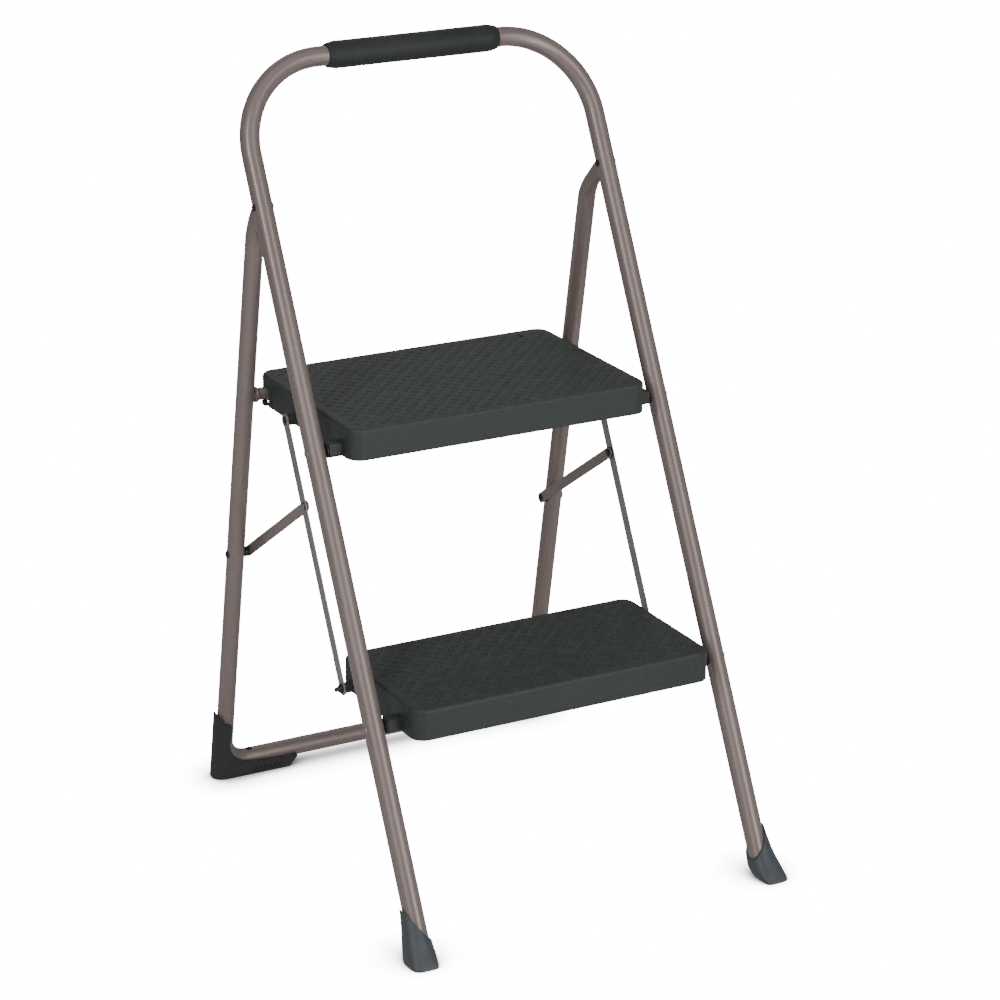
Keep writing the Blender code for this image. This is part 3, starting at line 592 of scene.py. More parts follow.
# ---------------------------------------------------------------- finishes
class ShaderGraph:
    """A node tree and the nodes added to it."""

    def __init__(self, tree: bpy.types.NodeTree) -> None:
        """Hold an empty tree."""
        self.tree = tree

    def add(
        self, kind: str, values: dict[str | int, object] | None = None, **settings: object
    ) -> bpy.types.Node:
        """Add a node, link or set its inputs, and set its properties.

        Args:
            kind: Node type.
            values: Input name or number to a value or an output socket.
            settings: Properties of the node.

        Returns:
            The node.
        """
        node = self.tree.nodes.new(kind)
        for key, value in settings.items():
            setattr(node, key, value)
        for key, value in (values or {}).items():
            if isinstance(value, bpy.types.NodeSocket):
                self.tree.links.new(value, node.inputs[key])
            else:
                node.inputs[key].default_value = value
        return node

    def ramp(self, value: Value, low: Value, high: Value, to: Point = (0.0, 1.0)) -> bpy.types.NodeSocket:
        """Stretch the part of a value between low and high over a new range, smoothly."""
        values = {"Value": value, "From Min": low, "From Max": high, "To Min": to[0], "To Max": to[1]}
        return self.add("ShaderNodeMapRange", values, interpolation_type="SMOOTHSTEP").outputs[0]

    def blend(self, mask: Value, first: object, second: object) -> bpy.types.NodeSocket:
        """Mix two colours by a mask."""
        node = self.add("ShaderNodeMix", {0: mask, 6: first, 7: second}, data_type="RGBA")
        return node.outputs[2]

    def maths(self, operation: str, first: Value, second: Value) -> bpy.types.NodeSocket:
        """Combine two values."""
        return self.add("ShaderNodeMath", {0: first, 1: second}, operation=operation).outputs[0]


def shader_group(
    name: str, inputs: dict[str, float], outputs: Sequence[str]
) -> tuple[ShaderGraph, bpy.types.Node]:
    """Start a shared node group with named sockets.

    Args:
        name: Name of the group.
        inputs: Value inputs and their defaults; a Vector input is always there.
        outputs: Value outputs.

    Returns:
        The group's graph and its input node.
    """
    tree = bpy.data.node_groups.new(name, "ShaderNodeTree")
    tree.interface.new_socket("Vector", in_out="INPUT", socket_type="NodeSocketVector")
    for label, default in inputs.items():
        socket = tree.interface.new_socket(label, in_out="INPUT", socket_type="NodeSocketFloat")
        socket.default_value = default
    for label in outputs:
        tree.interface.new_socket(label, in_out="OUTPUT", socket_type="NodeSocketFloat")
    return ShaderGraph(tree), tree.nodes.new("NodeGroupInput")


class Effects:
    """Node groups that the finishes share."""

    @staticmethod
    def _use(
        graph: ShaderGraph, name: str, build: Callable[[str], None], **values: Value
    ) -> bpy.types.Node:
        """Place a group in a material, building it the first time.

        Args:
            graph: The material's graph.
            name: Name of the group.
            build: Builds it under that name.
            values: Values or sockets for the group's inputs.

        Returns:
            The group's node.
        """
        if name not in bpy.data.node_groups:
            build(name)
        return graph.add("ShaderNodeGroup", values, node_tree=bpy.data.node_groups[name])

    @staticmethod
    def _fine_grain(name: str) -> None:
        """Fine relief: soft noise broken up by small cells.

        Args:
            name: Name of the group.
        """
        graph, given = shader_group(name, {"Scale": 900.0, "Cells": 0.4}, ["Height", "Fleck"])
        vector, scale = given.outputs["Vector"], given.outputs["Scale"]
        noise = graph.add(
            "ShaderNodeTexNoise", {"Vector": vector, "Scale": scale, "Detail": 3.0, "Roughness": 0.55}
        )
        cells = graph.add(
            "ShaderNodeTexVoronoi", {"Vector": vector, "Scale": scale}, feature="SMOOTH_F1"
        )
        height = graph.add(
            "ShaderNodeMix",
            {0: given.outputs["Cells"], 2: noise.outputs[0], 3: cells.outputs["Distance"]},
        )
        fleck = graph.ramp(noise.outputs[0], 0.35, 0.7)
        graph.add("NodeGroupOutput", {"Height": height.outputs[0], "Fleck": fleck})

    @staticmethod
    def _tone_drift(name: str) -> None:
        """Broad cloudy change of tone.

        Args:
            name: Name of the group.
        """
        graph, given = shader_group(name, {"Scale": 9.0, "Contrast": 0.2}, ["Mask"])
        noise = graph.add(
            "ShaderNodeTexNoise",
            {"Vector": given.outputs["Vector"], "Scale": given.outputs["Scale"], "Detail": 5.0},
        )
        low = graph.maths("SUBTRACT", 0.5, given.outputs["Contrast"])
        high = graph.maths("ADD", 0.5, given.outputs["Contrast"])
        graph.add("NodeGroupOutput", {"Mask": graph.ramp(noise.outputs[0], low, high)})

    @staticmethod
    def _settled_dust(name: str) -> None:
        """Thin dust on faces that look up.

        Args:
            name: Name of the group.
        """
        graph, given = shader_group(name, {"Scale": 60.0, "Amount": 0.2}, ["Mask"])
        normal = graph.add("ShaderNodeNewGeometry").outputs["Normal"]
        upward = graph.add("ShaderNodeSeparateXYZ", {0: normal}).outputs[2]
        noise = graph.add(
            "ShaderNodeTexNoise",
            {"Vector": given.outputs["Vector"], "Scale": given.outputs["Scale"], "Detail": 6.0,
             "Roughness": 0.7},
        )
        flat = graph.ramp(upward, 0.3, 1.0)
        patchy = graph.ramp(noise.outputs[0], 0.4, 0.75)
        mask = graph.maths("MULTIPLY", graph.maths("MULTIPLY", flat, patchy), given.outputs["Amount"])
        graph.add("NodeGroupOutput", {"Mask": mask})

    @staticmethod
    def _scuffs(name: str) -> None:
        """Short faint rubs, drawn out one way.

        Args:
            name: Name of the group.
        """
        graph, given = shader_group(name, {"Scale": 40.0, "Amount": 0.3}, ["Mask"])
        stretch = graph.add(
            "ShaderNodeMapping",
            {"Vector": given.outputs["Vector"], "Scale": (1.0, 0.35, 0.22), "Rotation": (0.5, 0.35, 0.9)},
        )
        noise = graph.add(
            "ShaderNodeTexNoise",
            {"Vector": stretch.outputs[0], "Scale": given.outputs["Scale"], "Detail": 8.0,
             "Roughness": 0.75, "Distortion": 0.4},
        )
        thin = graph.ramp(noise.outputs[0], 0.6, 0.72)
        mask = graph.maths("MULTIPLY", thin, given.outputs["Amount"])
        graph.add("NodeGroupOutput", {"Mask": mask})

    @classmethod
    def grain(cls, graph: ShaderGraph, **values: Value) -> bpy.types.Node:
        """Fine relief of a surface."""
        return cls._use(graph, "fine_grain", cls._fine_grain, **values)

    @classmethod
    def drift(cls, graph: ShaderGraph, **values: Value) -> bpy.types.Node:
        """Cloudy tone."""
        return cls._use(graph, "tone_drift", cls._tone_drift, **values)

    @classmethod
    def dust(cls, graph: ShaderGraph, **values: Value) -> bpy.types.Node:
        """Dust on upward faces."""
        return cls._use(graph, "settled_dust", cls._settled_dust, **values)

    @classmethod
    def rubs(cls, graph: ShaderGraph, **values: Value) -> bpy.types.Node:
        """Faint rubs."""
        return cls._use(graph, "scuffs", cls._scuffs, **values)


@dataclass(frozen=True)
class Finish:
    """One surface finish and the numbers of its grain, tone, rubs and dust."""

    name: str
    slot: str
    colour: tuple[float, float, float]
    second: tuple[float, float, float]  # tone that the colour drifts to
    roughness: Point  # smoothest and roughest
    metallic: float = 0.0
    specular: float = 0.5
    coat: float = 0.0
    coat_roughness: float = 0.2
    grain_scale: float = 900.0
    grain_cells: float = 0.4
    grain_depth: float = 0.00003
    fleck: float = 0.1  # share of the second tone in the grain's flecks
    drift_scale: float = 9.0
    rub_scale: float = 40.0
    rubs: float = 0.3
    dust: float = 0.15
    dust_colour: tuple[float, float, float] = (0.32, 0.31, 0.29)

    def material(self) -> bpy.types.Material:
        """Give the finish's material, building it the first time.

        Returns:
            A material on Object coordinates.
        """
        if self.name in bpy.data.materials:
            return bpy.data.materials[self.name]
        material = bpy.data.materials.new(self.name)
        material.use_nodes = True
        material.diffuse_color = (*self.colour, 1.0)
        material.node_tree.nodes.clear()
        graph = ShaderGraph(material.node_tree)
        place = graph.add("ShaderNodeTexCoord").outputs["Object"]
        grain = Effects.grain(graph, Vector=place, Scale=self.grain_scale, Cells=self.grain_cells)
        drift = Effects.drift(graph, Vector=place, Scale=self.drift_scale, Contrast=0.22)
        rubs = Effects.rubs(graph, Vector=place, Scale=self.rub_scale, Amount=self.rubs)
        dust = Effects.dust(graph, Vector=place, Amount=self.dust)
        flecks = graph.maths("MULTIPLY", grain.outputs["Fleck"], self.fleck)
        cloudy = graph.maths("MULTIPLY", drift.outputs["Mask"], 1.0 - self.fleck)
        tone = graph.maths("ADD", flecks, cloudy)
        colour = graph.blend(tone, (*self.colour, 1.0), (*self.second, 1.0))
        colour = graph.blend(dust.outputs["Mask"], colour, (*self.dust_colour, 1.0))
        low, high = self.roughness
        worn = graph.maths("ADD", graph.maths("MULTIPLY", drift.outputs["Mask"], 0.5), rubs.outputs["Mask"])
        gloss = graph.ramp(graph.maths("ADD", worn, dust.outputs["Mask"]), 0.0, 1.1, (low, high))
        bump = graph.add(
            "ShaderNodeBump",
            {"Height": grain.outputs["Height"], "Distance": self.grain_depth, "Strength": 1.0},
        )
        shader = graph.add(
            "ShaderNodeBsdfPrincipled",
            {"Base Color": colour, "Roughness": gloss, "Normal": bump.outputs[0],
             "Metallic": self.metallic, "Specular IOR Level": self.specular,
             "Coat Weight": self.coat, "Coat Roughness": self.coat_roughness},
        )
        graph.add("ShaderNodeOutputMaterial", {0: shader.outputs[0]})
        return material


POWDER_COAT = Finish(
    "powder_coat", "frame_paint", (0.285, 0.222, 0.208), (0.325, 0.262, 0.248), (0.33, 0.48),
    metallic=0.35, coat=0.25, coat_roughness=0.18, grain_scale=1500.0, grain_cells=0.25,
    grain_depth=0.000012, fleck=0.45, drift_scale=7.0, rubs=0.25, dust=0.05,
)
MOULDING = Finish(
    "tread_moulding", "step_moulding", (0.040, 0.050, 0.046), (0.052, 0.064, 0.058), (0.50, 0.66),
    specular=0.42, grain_scale=2300.0, grain_cells=0.6, grain_depth=0.00003, fleck=0.3,
    drift_scale=6.0, rub_scale=30.0, rubs=0.35, dust=0.10,
)
SLEEVE = Finish(
    "grip_sleeve", "grip_vinyl", (0.025, 0.031, 0.027), (0.035, 0.042, 0.037), (0.50, 0.62),
    specular=0.4, grain_scale=1600.0, grain_cells=0.5, grain_depth=0.00004, fleck=0.3,
    drift_scale=14.0, rubs=0.3, dust=0.08,
)
FOOT_RUBBER = Finish(
    "front_foot_rubber", "foot_rubber", (0.076, 0.088, 0.100), (0.092, 0.104, 0.116), (0.42, 0.60),
    specular=0.4, grain_scale=1500.0, grain_cells=0.5, grain_depth=0.00004, fleck=0.25,
    drift_scale=30.0, rubs=0.6, dust=0.12,
)
BOOT_RUBBER = Finish(
    "boot_rubber", "foot_rubber", (0.034, 0.040, 0.037), (0.044, 0.050, 0.047), (0.50, 0.68),
    specular=0.4, grain_scale=1500.0, grain_cells=0.5, grain_depth=0.00004, fleck=0.25,
    drift_scale=25.0, rubs=0.5, dust=0.15,
)
ZINC = Finish(
    "zinc_steel", "link_steel", (0.30, 0.275, 0.255), (0.42, 0.40, 0.38), (0.34, 0.52),
    metallic=0.8, grain_scale=700.0, grain_cells=0.2, grain_depth=0.00001, fleck=0.35,
    drift_scale=40.0, rub_scale=90.0, rubs=0.6, dust=0.03,
)
BLACK_FITTING = Finish(
    "black_fitting", "dark_fittings", (0.012, 0.012, 0.012), (0.022, 0.022, 0.021), (0.32, 0.5),
    specular=0.5, grain_scale=1800.0, grain_depth=0.00002, fleck=0.2, drift_scale=60.0, rubs=0.5,
    dust=0.05,
)


# ---------------------------------------------------------------- stance
def middle(node: str) -> Vector:
    """Middle of a CAD node's box."""
    low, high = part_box(node)
    return (low + high) / 2


@dataclass(frozen=True)
class Stance:
    """Places that the sub-assemblies share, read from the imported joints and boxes."""

    frame_pivot: Vector
    top_pivot: Vector
    bottom_pivot: Vector
    link_top: Vector
    strut_link: Vector
    strut_leg: Vector
    crossbar: Vector

    @classmethod
    def read(cls) -> "Stance":
        """Read the stance from the frame.

        Returns:
            The stance, with every place in the plane x = 0.
        """
        joints = {joint["name"]: Vector(joint["pos_m"]) for joint in frame["joints"]}

        def flat(place: Vector) -> Vector:
            """Put a place in the plane x = 0."""
            return Vector((0, place.y, place.z))

        return cls(
            flat(joints["rear_frame_fold"]), flat(joints["top_step_fold"]),
            flat(joints["bottom_step_fold"]), flat(joints["link_left_swing"]),
            flat(middle("strut_pin_left")), flat(joints["strut_left_swing"]),
            flat(middle("rear_crossbar")),
        )

    @property
    def link_bottom(self) -> Vector:
        """Lower pivot of the link bars."""
        return self.link_top + self.bottom_pivot - self.top_pivot

    @property
    def front_lean(self) -> float:
        """Angle of the front legs from vertical."""
        rise = self.top_pivot - self.bottom_pivot
        return math.atan2(rise.y, rise.z)

    @property
    def rear_lean(self) -> float:
        """Angle of the rear legs from vertical."""
        rise = self.crossbar - self.strut_leg
        return math.atan2(-rise.y, rise.z)

    def front_plane(self) -> Matrix:
        """Matrix from a front frame modelled upright on the floor to its leaning place."""
        foot = self.top_pivot.y - self.top_pivot.z * math.tan(self.front_lean)
        return Matrix.Translation((0, foot, 0)) @ Matrix.Rotation(-self.front_lean, 4, "X")

    def rear_plane(self) -> Matrix:
        """Matrix from a rear frame modelled upright on the floor to its leaning place."""
        foot = self.crossbar.y + self.crossbar.z * math.tan(self.rear_lean)
        return Matrix.Translation((0, foot, 0)) @ Matrix.Rotation(self.rear_lean, 4, "X")


# ---------------------------------------------------------------- tubes
@dataclass(frozen=True)
class Hoop:
    """A round tube bent twice into a U, modelled upright in the XZ plane."""

    name: str
    half_width: float
    radius: float
    bend: float  # radius of each bend, to the centre line
    start: float  # height of the open ends
    rail: float  # height of the middle stretch
    sides: int = 48
    bend_steps: int = 28

    def solid(self) -> Workpiece:
        """Build the U and close its ends.

        Returns:
            The closed U.
        """
        piece = self.build()
        with piece.editing():
            for end in SIDES.values():
                piece.close_end(self.start, end)
        return piece.face_out()

    def build(self) -> Workpiece:
        """Draw a ring along the U by extruding its straights and spinning its bends.

        Returns:
            The open tube skin.
        """
        piece = Workpiece.ring(self.name, self.radius, self.sides)
        up = 1 if self.rail > self.start else -1
        straight = self.rail - self.start - up * self.bend
        turn_centre = self.rail - up * self.bend
        with piece.editing():
            bpy.ops.mesh.select_all(action="SELECT")
            bpy.ops.transform.translate(value=(-self.half_width, 0, self.start))
            self._draw((0, 0, straight))
            self._turn(-self.half_width + self.bend, turn_centre, up)
            self._draw((2 * (self.half_width - self.bend), 0, 0))
            self._turn(self.half_width - self.bend, turn_centre, up)
            self._draw((0, 0, -straight))
        return piece.weld()

    def _draw(self, along: Sequence[float]) -> None:
        """Extrude the end ring in a straight line."""
        bpy.ops.mesh.extrude_region_move(TRANSFORM_OT_translate={"value": along})

    def _turn(self, x: float, z: float, up: int) -> None:
        """Spin the end ring through a quarter turn about (x, z)."""
        bpy.ops.mesh.spin(
            steps=self.bend_steps, angle=-up * math.pi / 2, center=(x, 0, z), axis=(0, 1, 0)
        )


@dataclass(frozen=True)
class FrontFrame:
    """Front legs and hand rail, one tube with a wall, and its sleeve."""

    stance: Stance
    radius: float = 0.0111
    wall: float = 0.0012
    bend: float = 0.100
    end_height: float = 0.016
    sleeve_slip: float = 0.0030  # sleeve right of the middle

    def build(self) -> None:
        """Build the tube and the sleeve."""
        lean = self.stance.front_lean
        half_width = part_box("front_frame")[1].x - self.radius
        rail_height = middle("hand_grip").z
        hoop = Hoop(
            "front_frame_tube", half_width, self.radius, self.bend,
            self.end_height / math.cos(lean), rail_height / math.cos(lean),
        )
        tube = hoop.build()
        tube.modify("SOLIDIFY", thickness=self.wall, offset=-1.0, use_rim=True)
        tube.placed(self.stance.front_plane())
        tube.finish("front_frame", POWDER_COAT, "front_frame", smooth=40)
        self._sleeve(middle("hand_grip"))

    def _sleeve(self, centre: Vector) -> None:
        """Turn the sleeve with its bevelled ends round the rail.

        Args:
            centre: Middle of the sleeve in the CAD.
        """
        low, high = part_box("hand_grip")
        half = (high.x - low.x) / 2
        outer = (high.z - low.z) / 2
        end, bore = outer - 0.0021, self.radius + 0.0003
        profile = [
            (-half, bore), (-half, end - 0.0006), (-half + 0.0007, end), (-half + 0.0082, outer - 0.0003),
            (-half + 0.0105, outer), (0, outer - 0.0001), (half - 0.0105, outer),
            (half - 0.0082, outer - 0.0003), (half - 0.0007, end), (half, end - 0.0006), (half, bore),
        ]
        closed = eased(profile, 0.0012) + [profile[0]]
        sleeve = Workpiece.turned("grip_sleeve", closed, (centre.y, centre.z), sides=64)
        sleeve.placed(Matrix.Translation((self.sleeve_slip, 0, 0)))
        sleeve.finish("front_frame", SLEEVE, "hand_grip", smooth=40)


@dataclass(frozen=True)
class RearFrame:
    """Rear legs and bottom rail with pressed tips, and the crossbar."""

    stance: Stance
    radius: float = 0.01025
    bend: float = 0.030
    rail_height: float = 0.0194
    setback: float = 0.025
    tip_shift: float = -0.0045  # from the legs' centre lines to the tips', inboard if positive
    tip_half: float = 0.0017
    tip_end: float = 0.0072  # above the frame pivot
    tip_steps: int = 44
    neck: float = 0.0620  # where the shaping starts, below the pivot
    bar_radius: float = 0.0070
    spigot_radius: float = 0.0060
    bar_bore: float = 0.0048

    def sections(self) -> list[tuple[float, ...]]:
        """Table of the tip's sections.

        Returns:
            Rows of height above the pivot, front and back edges behind it, roundness (0 flat,
            1 round) and how far the section has moved inboard.
        """
        front, back = self.setback - self.radius, self.setback + self.radius
        return [
            (-0.0620, front, back, 1.0, 0.0),
            (-0.0540, front, back, 1.0, 0.0),
            (-0.0456, front - 0.0005, back, 0.93, 0.08),
            (-0.0322, 0.01075, 0.0330, 0.62, 0.40),
            (-0.0250, 0.0070, 0.0303, 0.40, 0.72),
            (-0.0150, 0.0010, 0.0262, 0.14, 1.0),
            (-0.0089, -0.0030, 0.0221, 0.05, 1.0),
            (0.0000, -0.0060, 0.0150, 0.0, 1.0),
            (0.0045, -0.0055, 0.0095, 0.0, 1.0),
            (0.0072, -0.0020, 0.0030, 0.0, 1.0),
        ]

    def build(self) -> None:
        """Build the hoop, press its tips and set in the crossbar."""
        half_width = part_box("rear_frame")[1].x - self.radius
        plane = self.stance.rear_plane()
        pivot = plane.inverted() @ self.stance.frame_pivot
        hoop = Hoop(
            "rear_frame_tube", half_width, self.radius, self.bend, pivot.z - self.neck,
            self.rail_height / math.cos(self.stance.rear_lean), bend_steps=16,
        )
        tube = hoop.build()
        self._draw_tips(tube, pivot.z)
        self._press_tips(tube, half_width, pivot)
        tube.soften(0.0006, 2, angle=50)
        tube.placed(plane)
        tube.finish("rear_frame", POWDER_COAT, "rear_frame", smooth=40)
        self._crossbar()

    def _draw_tips(self, tube: Workpiece, pivot_height: float) -> None:
        """Extrude both open ends up to the tips, ring by ring, and close them.

        Args:
            tube: The hoop.
            pivot_height: Height of the frame pivot in the frame's own plane.
        """
        top = pivot_height - self.neck
        step = (self.neck + self.tip_end) / self.tip_steps
        with tube.editing():
            tube.pick(Domain.VERT, lambda place, lie: place.z > top - 1e-4)
            bpy.ops.mesh.select_mode(type="EDGE")
            for _ in range(self.tip_steps):
                bpy.ops.mesh.extrude_region_move(TRANSFORM_OT_translate={"value": (0, 0, step)})
            end = pivot_height + self.tip_end
            for side in SIDES.values():
                tube.close_end(end, side)
        tube.face_out()

    def _press_tips(self, tube: Workpiece, half_width: float, pivot: Vector) -> None:
        """Press the ends flat and bend them forward to the pivot.

        Args:
            tube: The hoop with its ends drawn.
            half_width: Distance of a leg's centre line from the middle.
            pivot: The frame pivot in the frame's own plane.
        """
        rows = self.sections()

        def press(place: Vector) -> Vector | None:
            """Move one vertex of a leg's end to its pressed place.

            Args:
                place: Where it is on the round tube.

            Returns:
                Where it goes, or None below the neck.
            """
            height = place.z - pivot.z
            if height < -self.neck + 1e-5:
                return None
            side = 1 if place.x > 0 else -1
            turn = math.atan2(place.y, place.x * side - half_width)
            front, back, roundness, moved = between(rows, height)
            roundness = min(max(roundness, 0.0), 1.0)
            half = self.tip_half + (self.radius - self.tip_half) * roundness
            power = 2.0 / (3.4 - 1.4 * roundness)
            across = math.copysign(abs(math.cos(turn)) ** power, math.cos(turn)) * half
            along = math.copysign(abs(math.sin(turn)) ** power, math.sin(turn)) * (back - front) / 2
            x = half_width - self.tip_shift * min(max(moved, 0.0), 1.0) + across
            return Vector((side * x, pivot.y + (front + back) / 2 + along, place.z))

        tube.shape(press)

    def _crossbar(self) -> None:
        """Turn the crossbar with its swaged collars."""
        low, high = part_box("rear_crossbar")
        end, collar = high.x, (high.z - low.z) / 2
        bar, spigot, bore = self.bar_radius, self.spigot_radius, self.bar_bore
        leg = end - 0.0040
        half = [
            (0.0, bar), (leg - 0.0052, bar), (leg - 0.0030, collar), (leg, collar),
            (leg, spigot), (end, spigot), (end, bore), (0.0, bore),
        ]
        outer, inner = half[:-2], half[-2:]
        profile = [(-x, r) for x, r in reversed(outer[1:])] + outer + inner + [(-end, bore)]
        closed = eased(profile, 0.0006, 2) + [profile[0]]
        centre = self.stance.crossbar
        bar_piece = Workpiece.turned("crossbar", closed, (centre.y, centre.z), sides=40)
        bar_piece.finish("rear_frame", POWDER_COAT, "rear_crossbar", smooth=40)


# ---------------------------------------------------------------- steps
@dataclass(frozen=True)
class StudField:
    """Staggered lattice of low rounded studs on a tread."""

    pitch: float = 0.0176  # along a row; rows are half of it apart
    radius: float = 0.0036
    height: float = 0.00095
    sink: float = 0.0004  # depth of a stud's root in the tread
    front_margin: float = 0.0126
    back_margin: float = 0.0112
    side_margin: float = 0.0115

    def build(self, name: str, low: Vector, high: Vector, holes: Sequence[Point]) -> Workpiece:
        """Model one stud, array it over a tread and clear it from the holes.

        Args:
            name: Name of the piece.
            low: Lowest corner of the tread.
            high: Highest corner.
            holes: Places (x, y) of holes in the tread.

        Returns:
            The studs, sunk slightly in the tread's top.
        """
        half = self.pitch / 2
        first = low.y + self.front_margin
        rows = int((high.y - self.back_margin - first) / half + 1e-6) + 1
        reach = high.x - self.side_margin
        even_side = int(reach / self.pitch)
        odd_side = int((reach - half) / self.pitch)
        even = self._lattice(name, 2 * even_side + 1, (rows + 1) // 2)
        odd = self._lattice(f"{name}_between", 2 * odd_side + 2, rows // 2)
        even.placed(Matrix.Translation((-even_side * self.pitch, first, high.z)))
        odd.placed(Matrix.Translation((-(odd_side + 0.5) * self.pitch, first + half, high.z)))
        even.take_in(odd)
        clear = self.radius * 2.2
        with even.editing():
            even.pick(
                Domain.VERT,
                lambda place, lie: any(math.hypot(place.x - x, place.y - y) < clear for x, y in holes),
            )
            bpy.ops.mesh.select_linked()
            bpy.ops.mesh.delete(type="VERT")
        return even

    def _lattice(self, name: str, across: int, deep: int) -> Workpiece:
        """Model one stud and array it.

        Args:
            name: Name of the piece.
            across: Number of studs in a row.
            deep: Number of rows.

        Returns:
            The studs.
        """
        h = self.height
        tiers = ((self.sink + h * 0.45, 0.93), (h * 0.4, 0.74), (h * 0.15, 0.55))
        stud = Workpiece.ring(name, self.radius, 12, filled=True)
        with stud.editing():
            bpy.ops.mesh.select_all(action="SELECT")
            bpy.ops.transform.translate(value=(0, 0, -self.sink))
            stud.pick(Domain.VERT, lambda place, lie: min(abs(place.x), abs(place.y)) < 1e-5)
            bpy.ops.transform.resize(value=(1.09, 1.09, 1.0), center_override=(0, 0, 0))
            for rise, scale in tiers:
                bpy.ops.mesh.select_all(action="DESELECT")
                top = max(v.co.z for v in bmesh.from_edit_mesh(stud.obj.data).verts)
                stud.pick(Domain.FACE, lambda place, lie: place.z > top - 1e-6 and abs(lie.z) > 0.9)
                bpy.ops.mesh.extrude_region_move(TRANSFORM_OT_translate={"value": (0, 0, rise)})
                bpy.ops.transform.resize(value=(scale, scale, 1.0), center_override=(0, 0, 0))
        stud.face_out()
        for count, offset in ((across, (self.pitch, 0, 0)), (deep, (0, self.pitch, 0))):
            stud.modify(
                "ARRAY", count=count, use_relative_offset=False, use_constant_offset=True,
                constant_offset_displace=offset,
            )
        return stud


